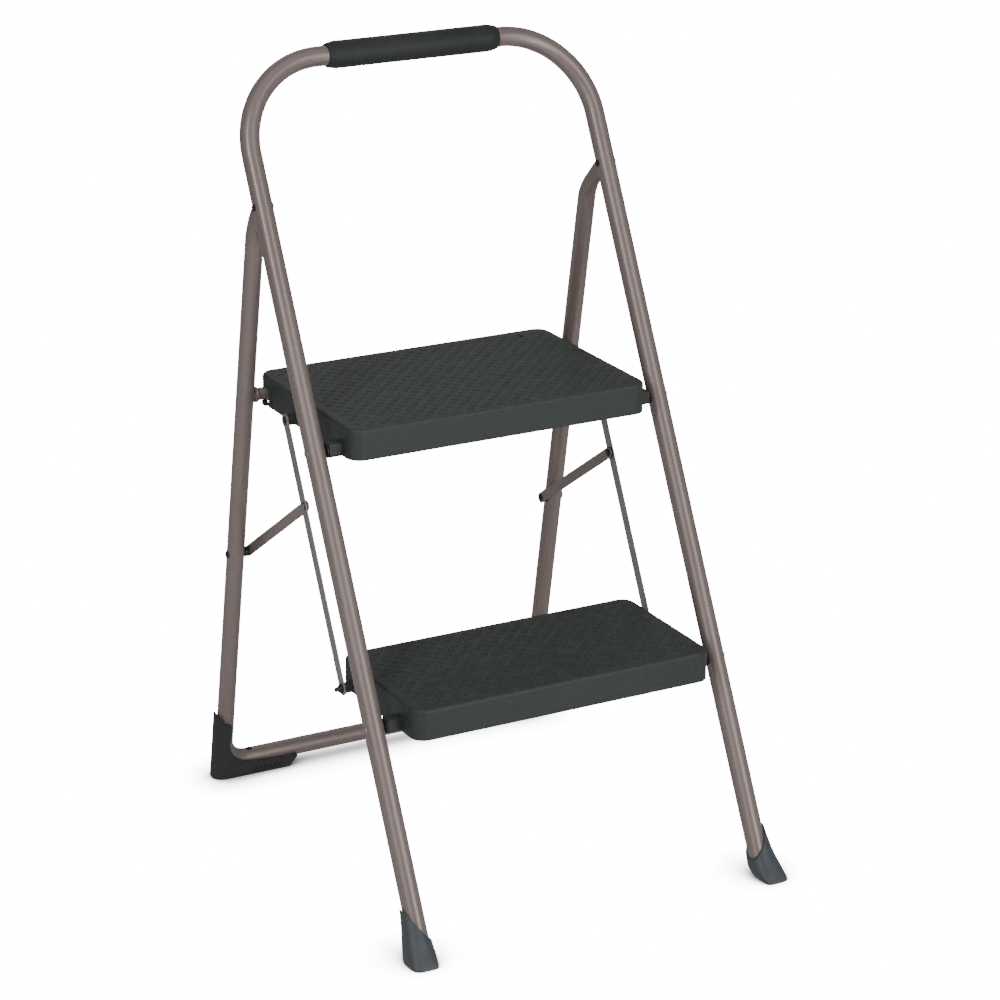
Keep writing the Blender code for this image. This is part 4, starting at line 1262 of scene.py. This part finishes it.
@dataclass(frozen=True)
class TreadStep:
    """A moulded step: hollow ribbed body, pivot lugs, notch and studs."""

    stance: Stance
    node: str
    pivot: Vector
    has_notch: bool
    half_width: float = 0.1836
    corner: float = 0.0165
    edge: float = 0.0038
    skirt: float = 0.0035
    plate: float = 0.0040
    rib: float = 0.0030
    bays: int = 6
    lug_reach: float = 0.0075
    link_boss: float = 0.0060
    drain_radius: float = 0.0035
    drain_inset: float = 0.041
    notch_half: float = 0.0076
    pivot_bore: float = 0.0033
    link_bore: float = 0.0028
    play: float = 0.0003  # between a boss and what it faces

    def build(self) -> None:
        """Build the body, hollow it, add the lugs, cut the bores and set the studs."""
        low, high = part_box(self.node)
        low.x, high.x = -self.half_width, self.half_width
        body = self._slab(low, high)
        body.combine(self._hollows(low, high), Join.CUT)
        body.combine(self._lug(low).doubled(), Join.ADD)
        body.combine(self._link_boss().doubled(), Join.ADD)
        holes = self._drains() if self.has_notch else []
        if self.has_notch:
            body.combine(self._drain(*holes[0], high.z).doubled(), Join.CUT)
            body.combine(self._notch(), Join.CUT)
            body.take_in(self._catch().doubled())
        body.combine(self._bores().doubled(), Join.CUT)
        body.weld()
        body.take_in(StudField().build(f"{self.node}_studs", low, high, holes))
        body.finish(self.node, MOULDING, self.node, smooth=38)

    def _core(self, low: Vector, high: Vector) -> Workpiece:
        """Block with round corners that lies inside the skirt.

        Args:
            low: Lowest corner of the step.
            high: Highest corner.

        Returns:
            The block.
        """
        inset = Vector((self.skirt, self.skirt, -0.03))
        core = Workpiece.block(f"{self.node}_core", low + inset, high - inset)
        return core.bevel(lambda place, lie: abs(lie.z) > 0.9, self.corner - self.skirt, 8)

    def _slab(self, low: Vector, high: Vector) -> Workpiece:
        """Block with round corners, a rounded upper edge and an eased lower one.

        Args:
            low: Lowest corner.
            high: Highest corner.

        Returns:
            The block.
        """
        slab = Workpiece.block(f"{self.node}_tread", low, high)
        slab.bevel(lambda place, lie: abs(lie.z) > 0.9, self.corner, 10)
        top, bottom = high.z, low.z
        slab.bevel(lambda place, lie: place.z > top - 1e-5 and abs(lie.z) < 0.1, self.edge, 5)
        slab.bevel(lambda place, lie: place.z < bottom + 1e-5 and abs(lie.z) < 0.1, 0.0011, 2)
        return slab

    def _hollows(self, low: Vector, high: Vector) -> Workpiece:
        """The bays between the ribs, open below.

        Args:
            low: Lowest corner of the step.
            high: Highest corner.

        Returns:
            The bays, as one cutter.
        """
        inner = self.half_width - self.skirt
        front, back = low.y + self.skirt, high.y - self.skirt
        middle_rib = (self.pivot.y + self.stance.link_top.y + self.pivot.y - self.stance.top_pivot.y) / 2
        rear_rib = 2 * middle_rib - self.pivot.y + 0.028
        ribs = [y for y in (middle_rib, rear_rib) if y + 0.028 < back]
        starts = [front] + [y + self.rib / 2 for y in ribs]
        ends = [y - self.rib / 2 for y in ribs] + [back]
        pitch = (2 * inner + self.rib) / self.bays
        ceiling = high.z - self.plate
        rows = []
        for row, (start, end) in enumerate(zip(starts, ends)):
            corners = (-inner, start, low.z - 0.02), (-inner + pitch - self.rib, end, ceiling)
            bay = Workpiece.block(f"{self.node}_bay_{row}", *corners)
            bay.bevel(lambda place, lie: abs(lie.z) > 0.9 or place.z > ceiling - 1e-5, 0.0016, 2)
            bay.modify(
                "ARRAY", count=self.bays, use_relative_offset=False, use_constant_offset=True,
                constant_offset_displace=(pitch, 0, 0),
            )
            rows.append(bay)
        return rows[0].take_in(*rows[1:]).combine(self._core(low, high), Join.SHARE)

    def _lug(self, low: Vector) -> Workpiece:
        """Right-hand blocky lug at the step pivot, rooted in the skirt.

        Args:
            low: Lowest corner of the step.

        Returns:
            The lug.
        """
        r, y, z = self.lug_reach, self.pivot.y, self.pivot.z
        bottom, chamfer = low.z + 0.0003, 0.003
        outline = [(y - r, z + r + 0.001), (y - r, bottom + chamfer), (y - r + chamfer, bottom)]
        outline += [(y + r - chamfer, bottom), (y + r, bottom + chamfer), (y + r, z + r + 0.001)]
        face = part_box(f"{self.node}_washer_right")[0].x - self.play
        lug = Workpiece.plate(f"{self.node}_lug", outline, self.half_width - 0.002, face)
        return lug.soften(0.0010, 2, angle=25)

    def _link_boss(self) -> Workpiece:
        """Right-hand round boss behind the link bar.

        Returns:
            The boss.
        """
        centre = self.pivot + self.stance.link_top - self.stance.top_pivot
        side, face, r = self.half_width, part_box("link_bar_right")[0].x - self.play, self.link_boss
        profile = [(side - 0.003, 0), (side - 0.003, r + 0.0012), (side + 0.0004, r + 0.0012)]
        profile += [(side + 0.0014, r), (face - 0.0004, r), (face, r - 0.0004), (face, 0)]
        return Workpiece.turned(f"{self.node}_boss", profile, (centre.y, centre.z), 32)

    def _bores(self) -> Workpiece:
        """Right-hand holes for the pivots' rivets.

        Returns:
            The cutters.
        """
        link = self.pivot + self.stance.link_top - self.stance.top_pivot
        near, far = self.half_width - 2 * self.skirt, self.half_width + 0.03
        rods = []
        for label, place, radius in (
            ("pivot", self.pivot, self.pivot_bore), ("link", link, self.link_bore)
        ):
            profile = [(near, 0), (near, radius), (far, radius), (far, 0)]
            rods.append(Workpiece.turned(f"{self.node}_{label}_bore", profile, (place.y, place.z), 24))
        return rods[0].take_in(rods[1])

    def _drains(self) -> list[Point]:
        """Places of the holes over the crossbar."""
        x, y = self.half_width - self.drain_inset, self.stance.crossbar.y
        return [(x, y), (-x, y)]

    def _drain(self, x: float, y: float, top: float) -> Workpiece:
        """Cutter for one flared hole through the plate.

        Args:
            x: Its place across the step.
            y: Its place along the step.
            top: Height of the tread.

        Returns:
            The cutter.
        """
        r, flare = self.drain_radius, self.drain_radius + 0.0008
        profile = [(-0.012, 0), (-0.012, r), (-0.0007, r), (0.0002, flare), (0.01, flare), (0.01, 0)]
        cutter = Workpiece.turned(f"{self.node}_drain", profile, (0, 0), 24)
        return cutter.placed(Matrix.Translation((x, y, top)) @ Matrix.Rotation(-math.pi / 2, 4, "Y"))

    def _notch(self) -> Workpiece:
        """Cutter for the slot that lets the crossbar out below.

        Returns:
            The cutter.
        """
        centre, reach = self.stance.crossbar, self.half_width + 0.004
        arm = centre - self.stance.top_pivot
        way = Vector((0, arm.z, -arm.y)).normalized() * 0.04
        below = (centre.y + way.y, centre.z - abs(way.z))
        outline = bar_outline((centre.y, centre.z), below, self.notch_half, self.notch_half + 1e-5, 10)
        return Workpiece.plate(f"{self.node}_notch", outline, -reach, reach)

    def _catch(self) -> Workpiece:
        """Right-hand small hooked catch beside the crossbar's notch.

        Returns:
            The catch.
        """
        y, z, face = self.stance.crossbar.y, self.stance.crossbar.z, self.half_width
        outline = [(y + 0.0010, z - 0.0078), (y - 0.0070, z - 0.0112), (y - 0.0052, z - 0.0140)]
        outline += [(y + 0.0006, z - 0.0132), (y + 0.0030, z - 0.0098)]
        catch = Workpiece.plate(f"{self.node}_catch", outline, face - 0.0015, face + 0.0042)
        return catch.soften(0.0005, 2, angle=25)


# ---------------------------------------------------------------- linkage
@dataclass(frozen=True)
class Linkage:
    """Link bars, struts and all the rivets, modelled on the right and mirrored."""

    stance: Stance
    link_half: float = 0.0067
    link_eye: float = 0.0080
    strut_half: float = 0.00625
    pin: float = 0.0025  # radius of the linkage's pins
    axle: float = 0.0030  # radius of the frames' rivets
    shoulder: float = 0.0018  # depth of a rivet's inner head
    head: float = 0.0044

    def build(self) -> None:
        """Build the bars, then everything that is turned."""
        self._link()
        self._strut()
        self._step_rivets()
        self._frame_rivet()
        self._link_rivet()
        self._stop_peg()
        self._strut_ends()

    def _span(self, node: str) -> Point:
        """Inner and outer distances of a node from the middle."""
        low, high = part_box(f"{node}_right")
        return low.x, high.x

    def _turn(
        self, node: str, profile: Sequence[Point], place: Vector, body: str, finish: Finish, sides: int = 32
    ) -> None:
        """Turn a piece, finish it and its twin, and let them stand for their nodes.

        Args:
            node: Name of the node, without its side.
            profile: Points of (distance from the middle, radius).
            place: A point on its axis.
            body: CAD body that it rides on.
            finish: Its surface finish.
            sides: Facets round the axis.
        """
        piece = Workpiece.turned(f"{node}_right_turned", profile, (place.y, place.z), sides)
        piece.finish_pair(body, finish, f"{node}_right", smooth=40)

    def _link(self) -> None:
        """Pressed link bar with raised rims round its eyes."""
        inner, outer = self._span("link_bar")
        places = [(p.y, p.z) for p in (self.stance.link_top, self.stance.link_bottom)]
        outline = bar_outline(*places, self.link_half, self.link_eye, 14)
        bar = Workpiece.plate("link_bar_right_plate", outline, inner, outer - 0.0003)
        bar.soften(0.0005, 2, angle=40)
        hole, edge = 0.0047, self.link_eye - 0.0003
        root, crest = outer - 0.0009, outer + 0.0004
        rim = [(root, hole), (outer - 0.0002, hole), (crest, hole + 0.0006), (crest, edge - 0.0007)]
        rim += [(outer - 0.0002, edge), (root, edge), (root, hole)]
        for place in places:
            bar.take_in(Workpiece.turned("link_rim", rim, place, 36))
        bar.finish_pair("link_right", ZINC, "link_bar_right", smooth=40)

    def _strut(self) -> None:
        """Flat painted strut with round ends."""
        inner, outer = self._span("strut")
        start, end, half = self.stance.strut_leg, self.stance.strut_link, self.strut_half
        outline = bar_outline((start.y, start.z), (end.y, end.z), half, half + 1e-5, 14)
        bar = Workpiece.plate("strut_right_plate", outline, inner, outer)
        bar.soften(0.0005, 2, angle=40)
        bar.finish_pair("strut_right", POWDER_COAT, "strut_right", smooth=40)

    def _step_rivets(self) -> None:
        """Rivets through the legs and the black washers beside them."""
        places = {"top_step": self.stance.top_pivot, "bottom_step": self.stance.bottom_pivot}
        for step, place in places.items():
            inner, outer = self._span(f"{step}_rivet")
            seat, collar = outer - 0.0030, inner + 0.0022
            shaft = [(inner, 0), (inner, 0.0046), (inner + 0.0014, 0.0052), (collar, 0.0052)]
            shaft += [(collar, self.axle), (seat - 0.0014, self.axle), (seat - 0.0014, self.head)]
            self._turn(f"{step}_rivet", shaft + dome(seat, 0.0045, 0.0014), place, "front_frame", ZINC)
            low, high = self._span(f"{step}_washer")
            ring = [(low, 0.0033), (low, 0.0072), (low + 0.0006, 0.0080), (high - 0.0004, 0.0080)]
            ring += [(high, 0.0074), (high, 0.0033), (low, 0.0033)]
            self._turn(f"{step}_washer", ring, place, "front_frame", BLACK_FITTING, 36)

    def _frame_rivet(self) -> None:
        """Black rivet that the two frames fold about."""
        seat = self._span("frame_rivet")[1] - 0.0030
        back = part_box("front_frame")[1].x - 0.0222
        profile = list(reversed(dome(back, 0.0043, -0.0012)))
        profile += [(back, self.axle), (seat - 0.0014, self.axle), (seat - 0.0014, 0.0046)]
        profile += dome(seat, 0.0047, 0.0014)
        self._turn("frame_rivet", profile, self.stance.frame_pivot, "front_frame", BLACK_FITTING)

    def _inner_head(self, inner: float) -> list[Point]:
        """Profile of the flat head and the root of a rivet that starts inside a step."""
        neck = inner + self.shoulder
        return [(inner, 0), (inner, 0.0040), (neck, self.head), (neck, self.pin)]

    def _link_rivet(self) -> None:
        """Dull rivet in the link bar's upper eye."""
        inner, outer = self._span("link_rivet")
        seat = outer - self.shoulder
        profile = self._inner_head(inner) + [(seat, self.pin)] + dome(seat, self.head, 0.0013)
        self._turn("link_rivet", profile, self.stance.link_top, "top_step", BLACK_FITTING)

    def _stop_peg(self) -> None:
        """Black peg on the lower pivot: a cone, a neck and a round tip."""
        inner, outer = self._span("stop_peg")
        seat = outer - 0.0085
        profile = self._inner_head(inner) + [(seat, self.pin), (seat, 0.0052)]
        profile += [(seat + 0.0010, 0.0056), (seat + 0.0040, 0.0030), (seat + 0.0052, 0.0022)]
        profile += arc_on_axis(seat + 0.0058, outer, 0.0029)
        self._turn("stop_peg", profile, self.stance.link_bottom, "bottom_step", BLACK_FITTING)

    def _strut_ends(self) -> None:
        """Pin and rivet head where the strut meets the link bar, and the rivet on the rear leg."""
        place = self.stance.strut_link
        low, high = self._span("strut_pin")
        seat = high - self.shoulder
        pin = [(low, 0), (low, self.pin), (seat, self.pin), (seat, 0.0043)]
        self._turn("strut_pin", pin + dome(seat + 0.0003, self.head, 0.0014), place, "link_right", ZINC)
        low, high = self._span("strut_end_rivet")
        seat = low + self.shoulder
        head = list(reversed(dome(seat, self.head, -0.0016)))
        head += [(seat + 0.0003, self.head), (seat + 0.0003, self.pin), (high, self.pin), (high, 0)]
        self._turn("strut_end_rivet", head, place, "strut_right", BLACK_FITTING)
        place = self.stance.strut_leg
        low, high = self._span("strut_rivet")
        seat, back = high - self.shoulder, low + self.shoulder
        shaft = list(reversed(dome(back, 0.0046, -0.0017)))
        shaft += [(back, self.pin), (seat - 0.0012, self.pin), (seat - 0.0012, 0.0042)]
        self._turn("strut_rivet", shaft + dome(seat, self.head, 0.0017), place, "rear_frame", BLACK_FITTING)
        low, high = self._span("strut_spacer")
        ring = [(low, 0.0028), (low, 0.0052), (low + 0.0006, 0.0058), (high - 0.0002, 0.0058)]
        ring += [(high + 0.0008, 0.0052), (high + 0.0008, 0.0028), (low, 0.0028)]
        self._turn("strut_spacer", ring, place, "rear_frame", BLACK_FITTING)


def arc_on_axis(start: float, end: float, radius: float, steps: int = 8) -> list[Point]:
    """Profile of a ball on the axis.

    Args:
        start: Where it leaves the neck.
        end: Its far pole.
        radius: Its radius.
        steps: Number of spans.

    Returns:
        Points of (place, radius) that end on the axis.
    """
    centre = end - radius
    first = math.degrees(math.acos(max(-1.0, min(1.0, (start - centre) / radius))))
    points = arc((centre, 0.0), radius, first, 0.0, steps)
    return points[:-1] + [(end, 0.0)]


# ---------------------------------------------------------------- feet
@dataclass(frozen=True)
class FrontFoot:
    """Flared rubber feet with their collars cut aslant and scalloped soles."""

    stance: Stance
    tube: float = 0.0111
    collar: float = 0.0024
    fit: float = 0.0002  # room round the tube
    socket: float = 0.0178  # height of the bore's bottom, up the leg
    inner_rim: float = 0.0190
    outer_drop: float = 0.0040  # rim below the CAD collar's highest point
    rim_curve: float = 1.2
    sides: int = 72
    rings: int = 26
    scallops: int = 4
    scallop_pitch: float = 0.0068
    scallop_radius: float = 0.0024

    def rows(self) -> list[tuple[float, ...]]:
        """Table of the foot's sections.

        Returns:
            Rows of share of the height, inboard and outboard reach from the leg's centre line,
            reach ahead of it and behind it, and squareness.
        """
        r = self.tube + self.collar
        level = r / math.cos(self.stance.front_lean)
        return [
            (0.00, 0.0085, 0.0212, 0.0240, 0.0035, 5.0),
            (0.05, 0.0092, 0.0218, 0.0250, 0.0050, 4.6),
            (0.16, 0.0105, 0.0208, 0.0240, 0.0085, 4.0),
            (0.50, r - 0.0004, r + 0.0033, level + 0.0042, level - 0.0006, 2.6),
            (0.80, r, r + 0.0012, level + 0.0014, level, 2.1),
            (1.00, r, r, level, level, 2.0),
        ]

    def build(self) -> None:
        """Draw the right foot up ring by ring, shape it, bore it, groove its sole and mirror it."""
        half_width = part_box("front_frame")[1].x - self.tube
        floor_y = (self.stance.front_plane() @ Vector((0, 0, 0))).y
        foot = Workpiece.ring("front_foot_right_rubber", 1.0, self.sides, filled=True)
        with foot.editing():
            bpy.ops.mesh.select_all(action="SELECT")
            for _ in range(self.rings):
                bpy.ops.mesh.extrude_region_move(TRANSFORM_OT_translate={"value": (0, 0, 1 / self.rings)})
        foot.shape(self._shaping(half_width, floor_y)).face_out()
        foot.soften(0.0007, 2, angle=50)
        bore = Workpiece.ring("foot_bore", self.tube + self.fit, 48, filled=True).raised(0.1)
        bore.placed(self.stance.front_plane() @ Matrix.Translation((half_width, 0, self.socket)))
        foot.combine(bore, Join.CUT)
        foot.combine(self._grooves(half_width, floor_y), Join.CUT)
        foot.weld()
        foot.finish_pair("front_frame", FOOT_RUBBER, "front_foot_right", smooth=36)

    def _shaping(self, half_width: float, floor_y: float) -> Callable[[Vector], Vector]:
        """Make the move from a unit drum to the foot.

        Args:
            half_width: Distance of the leg's centre line from the middle.
            floor_y: Where the centre line meets the floor.

        Returns:
            A function from a place on the drum to its place on the foot.
        """
        rows = self.rows()
        outer_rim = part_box("front_foot_right")[1].z - self.outer_drop
        lean = math.tan(self.stance.front_lean)

        def move(place: Vector) -> Vector:
            """Carry one vertex of the drum to the foot.

            Args:
                place: Where it is on the drum.

            Returns:
                Where it goes.
            """
            inward, outward, ahead, behind, power = between(rows, place.z)
            turn = math.atan2(place.y, place.x)
            c = math.copysign(abs(math.cos(turn)) ** (2 / power), math.cos(turn))
            s = math.copysign(abs(math.sin(turn)) ** (2 / power), math.sin(turn))
            slant = ((math.cos(turn) + 1) / 2) ** self.rim_curve
            z = place.z * (self.inner_rim + (outer_rim - self.inner_rim) * slant)
            x = half_width + c * (outward if c > 0 else inward)
            return Vector((x, floor_y + z * lean + s * (behind if s > 0 else ahead), z))

        return move

    def _grooves(self, x: float, floor_y: float) -> Workpiece:
        """Round grooves across the sole.

        Args:
            x: Distance of the leg's centre line from the middle.
            floor_y: Where the centre line meets the floor.

        Returns:
            The cutters.
        """
        groove = Workpiece.ring("sole_groove", self.scallop_radius, 20, filled=True).raised(0.08)
        turn = Matrix.Rotation(math.pi / 2, 4, "X")
        first = x + 0.0045 - (self.scallops - 1) / 2 * self.scallop_pitch
        return groove.repeated([
            Matrix.Translation((first + i * self.scallop_pitch, floor_y + 0.04, -0.0009)) @ turn
            for i in range(self.scallops)
        ])


@dataclass(frozen=True)
class RearFoot:
    """Rubber boots round the outside of the rear corners, and their screws."""

    stance: Stance
    tube: float = 0.01025
    wall: float = 0.0045
    fit: float = 0.0002  # room round the tube
    bend: float = 0.030
    rail_height: float = 0.0194
    top: float = 0.0870
    reach: float = 0.0905
    corner: float = 0.0085
    grooves: int = 6
    groove_start: float = 0.036  # first groove inboard of the leg
    groove_pitch: float = 0.0062
    groove_height: float = 0.0085
    groove_slant: float = 28.0  # degrees
    screw_inset: float = 0.033
    floor_gap: float = 0.00005

    def build(self) -> None:
        """Shape the right boot, seat the tube in it, groove it, level its sole and mirror it."""
        half_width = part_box("rear_frame")[1].x - self.tube
        rail = self.rail_height / math.cos(self.stance.rear_lean)
        half = self.tube + self.wall
        boot = self._body(half_width, rail, half)
        outline = [(-x, z) for x, z in self._outline(half_width, rail, half)]
        side_view = Workpiece.plate("boot_side_view", outline, -0.03, 0.03)
        boot.combine(side_view.placed(Matrix.Rotation(math.pi / 2, 4, "Z")), Join.SHARE)
        seat = Hoop("boot_seat", half_width, self.tube + self.fit, self.bend, 0.25, rail, bend_steps=16)
        boot.combine(seat.solid(), Join.CUT)
        boot.combine(self._grooves(half_width, half), Join.CUT)
        boot.placed(self.stance.rear_plane())
        with boot.editing():
            bpy.ops.mesh.select_all(action="SELECT")
            bpy.ops.mesh.bisect(
                plane_co=(0, 0, self.floor_gap), plane_no=(0, 0, 1), use_fill=True, clear_inner=True
            )
        boot.weld()
        boot.finish_pair("rear_frame", BOOT_RUBBER, "rear_foot_right", smooth=34)
        self._screw(half_width, rail)

    def _body(self, half_width: float, rail: float, half: float) -> Workpiece:
        """Round sleeves along the leg and the rail, the web between them and the flat-sided sole.

        Args:
            half_width: Distance of the leg's centre line from the middle.
            rail: Height of the rail's centre line.
            half: Radius of the sleeves.

        Returns:
            The body, before its side view is cut.
        """
        sleeve = Workpiece.ring("rear_foot_right_rubber", half, 48, filled=True)
        rail_sleeve = sleeve.copied("boot_rail_sleeve").raised(0.14)
        sleeve.raised(0.16).placed(Matrix.Translation((half_width, 0, -0.02)))
        lying = Matrix.Translation((half_width, 0, rail)) @ Matrix.Rotation(-math.pi / 2, 4, "Y")
        sleeve.combine(rail_sleeve.placed(lying), Join.ADD)
        web = self.bend + 0.012
        for name, inboard, low, high in (
            ("boot_web", web, rail, rail + web), ("boot_sole", self.reach + 0.01, -0.02, rail)
        ):
            corners = (half_width - inboard, -half, low), (half_width, half, high)
            sleeve.combine(Workpiece.block(name, *corners), Join.ADD)
        return sleeve

    def _outline(self, half_width: float, rail: float, half: float) -> list[Point]:
        """Side view of the boot in its own plane, from the outer top corner round the sole.

        Args:
            half_width: Distance of the leg's centre line from the middle.
            rail: Height of the rail's centre line.
            half: Half the thickness of the boot.

        Returns:
            The closed outline as (x, z).
        """
        outer, r = half_width + half, self.corner
        bottom = -half * math.tan(self.stance.rear_lean) - 0.001
        end = half_width - self.reach
        points = [(outer, self.top)]
        points += arc((outer - r, bottom + r), r, 0, -90, 8)
        points += [(end + 0.0135, bottom), (end, rail - 0.0052), (end - 0.0002, rail - 0.0022)]
        points += [(end + 0.018, rail - 0.0030)]
        points += arc((half_width - 0.034, rail + 0.0345), 0.0335, -90, -5, 12)
        points += [(half_width - 0.0024, rail + 0.045), (half_width - 0.0020, self.top - 0.0104)]
        points += [(half_width - 0.0008, self.top - 0.0092), (half_width + 0.0062, self.top - 0.0082)]
        points += [(half_width + 0.0088, self.top - 0.0052), (half_width + 0.0104, self.top - 0.0006)]
        return points

    def _grooves(self, half_width: float, half: float) -> Workpiece:
        """Short slanted grooves low on the front and back faces.

        Args:
            half_width: Distance of the leg's centre line from the middle.
            half: Half the thickness of the boot.

        Returns:
            The cutters.
        """
        groove = Workpiece.block("boot_groove", (-0.0010, -0.0010, -0.0045), (0.0010, 0.0010, 0.0045))
        groove.soften(0.0006, 2)
        slant = Matrix.Rotation(-math.radians(self.groove_slant), 4, "Y")
        first = half_width - self.groove_start
        return groove.repeated([
            Matrix.Translation((first - i * self.groove_pitch, y, self.groove_height)) @ slant
            for y in (-half, half) for i in range(self.grooves)
        ])

    def _screw(self, half_width: float, rail: float) -> None:
        """Pan-head screw with a cross recess, down through the rail.

        Args:
            half_width: Distance of the leg's centre line from the middle.
            rail: Height of the rail's centre line.
        """
        x, seat, below = half_width - self.screw_inset, rail + self.tube + 0.0001, rail - self.tube
        shank = 0.0018
        profile = [(below - 0.0045, 0), (below - 0.0045, 0.0012), (below - 0.0030, shank)]
        profile += [(seat - 0.0006, shank), (seat - 0.0006, 0.0033)] + dome(seat, 0.0034, 0.0016)
        screw = Workpiece.turned("foot_screw_right_turned", profile, (0, 0), 28)
        screw.placed(Matrix.Translation((x, 0, 0)) @ Matrix.Rotation(-math.pi / 2, 4, "Y"))
        for long, wide in ((0.0022, 0.0005), (0.0005, 0.0022)):
            slot = Workpiece.block("screw_slot", (-long, -wide, 0), (long, wide, 0.003))
            screw.combine(slot.placed(Matrix.Translation((x, 0, seat + 0.0007))), Join.CUT)
        screw.placed(self.stance.rear_plane())
        screw.finish_pair("rear_frame", BLACK_FITTING, "foot_screw_right", smooth=40)


# ---------------------------------------------------------------- studio
def bearing(azimuth: float, elevation: float) -> Vector:
    """Direction from the stool to something round it.

    Args:
        azimuth: Degrees round the stool, 0 in front, positive to its right.
        elevation: Degrees above level.

    Returns:
        A unit vector.
    """
    turn, climb = math.radians(azimuth), math.radians(elevation)
    level = math.cos(climb)
    return Vector((math.sin(turn) * level, -math.cos(turn) * level, math.sin(climb)))


@dataclass(frozen=True)
class SoftLight:
    """One area light aimed at the stool."""

    name: str
    azimuth: float
    elevation: float
    distance: float
    size: Point
    power: float
    aim: tuple[float, float, float] = (0.0, 0.0, 0.45)

    def build(self) -> None:
        """Hang the light."""
        put_down()
        way = bearing(self.azimuth, self.elevation)
        bpy.ops.object.light_add(type="AREA", location=Vector(self.aim) + way * self.distance)
        light = bpy.context.object
        light.name = light.data.name = self.name
        light.data.shape = "RECTANGLE"
        light.data.size, light.data.size_y = self.size
        light.data.energy = self.power
        light.rotation_euler = (-way).to_track_quat("-Z", "Y").to_euler()


@dataclass(frozen=True)
class Studio:
    """Pale floor, soft lights, bright surround and the camera."""

    target: tuple[float, float, float] = (-0.0462, -0.1029, 0.44)
    azimuth: float = -28.74
    elevation: float = 20.0
    distance: float = 3.5662
    roll: float = 0.385
    lens: float = 119.63
    shift: Point = (0.0051, 0.0003)
    floor_size: float = 24.0
    floor_glow: float = 17.0
    shade_reach: float = 0.055  # how far the painted contact shadow reaches round a foot
    shade_depth: float = 5.0
    surround: float = 0.22

    def build(self) -> None:
        """Set up the whole studio."""
        self._floor()
        self._world()
        for light in (
            SoftLight("front_right_box", 18, 26, 3.2, (1.4, 2.0), 22),
            SoftLight("low_strip", 12, 4, 2.6, (0.14, 1.3), 13, aim=(0.0, -0.1, 0.25)),
            SoftLight("high_strip", -62, 34, 2.6, (0.14, 1.4), 12, aim=(0.0, 0.1, 0.75)),
            SoftLight("left_box", -52, 20, 3.2, (1.6, 2.2), 15),
            SoftLight("overhead", 10, 78, 3.0, (2.6, 2.2), 7),
            SoftLight("back_fill", 165, 35, 3.6, (2.4, 2.0), 6),
        ):
            light.build()
        self._camera()

    def _floor(self) -> None:
        """Large level floor that the camera sees almost white, its glow darkened round the feet as a
        painted contact shadow.
        """
        put_down()
        bpy.ops.mesh.primitive_plane_add(size=self.floor_size)
        floor = bpy.context.object
        floor.name = "floor"
        material = bpy.data.materials.new("floor_paper")
        material.use_nodes = True
        material.node_tree.nodes.clear()
        graph = ShaderGraph(material.node_tree)
        seen = graph.add("ShaderNodeLightPath").outputs["Is Camera Ray"]
        # Painted contact shadow: ambient occlusion darkens the floor's glow round the feet
        painted_shadow_ao = graph.add("ShaderNodeAmbientOcclusion", {"Distance": self.shade_reach}, samples=12)
        shade = graph.maths("POWER", painted_shadow_ao.outputs["AO"], self.shade_depth)
        glow = graph.maths("MULTIPLY", graph.maths("MULTIPLY", seen, shade), self.floor_glow)
        shader = graph.add(
            "ShaderNodeBsdfPrincipled",
            {"Base Color": (0.86, 0.86, 0.86, 1.0), "Roughness": 0.9, "Specular IOR Level": 0.0,
             "Emission Color": (1.0, 1.0, 1.0, 1.0), "Emission Strength": glow},
        )
        graph.add("ShaderNodeOutputMaterial", {0: shader.outputs[0]})
        floor.data.materials.append(material)

    def _world(self) -> None:
        """Even pale surround."""
        world = bpy.data.worlds.new("surround")
        bpy.context.scene.world = world
        world.use_nodes = True
        world.node_tree.nodes.clear()
        graph = ShaderGraph(world.node_tree)
        back = graph.add("ShaderNodeBackground", {"Color": (1.0, 1.0, 1.0, 1.0), "Strength": self.surround})
        graph.add("ShaderNodeOutputWorld", {0: back.outputs[0]})

    def _camera(self) -> None:
        """Long lens from the front left, slightly above."""
        put_down()
        way = bearing(self.azimuth, self.elevation)
        place = Vector(self.target) + way * self.distance
        bpy.ops.object.camera_add(location=place)
        camera = bpy.context.object
        camera.name = "camera"
        turn = (-way).to_track_quat("-Z", "Y").to_matrix().to_4x4()
        tilt = Matrix.Rotation(math.radians(self.roll), 4, "Z")
        camera.matrix_world = Matrix.Translation(place) @ turn @ tilt
        camera.data.lens, camera.data.sensor_width = self.lens, 36.0
        camera.data.shift_x, camera.data.shift_y = self.shift
        camera.data.clip_end = 100.0
        bpy.context.scene.camera = camera


def main() -> None:
    """Build every sub-assembly in order, then the studio."""
    logging.basicConfig(level=logging.INFO, format="%(message)s")
    stance = Stance.read()
    FrontFrame(stance).build()
    RearFrame(stance).build()
    TreadStep(stance, "top_step", stance.top_pivot, True).build()
    TreadStep(stance, "bottom_step", stance.bottom_pivot, False).build()
    Linkage(stance).build()
    FrontFoot(stance).build()
    RearFoot(stance).build()
    Studio().build()


if __name__ == "__main__":
    main()
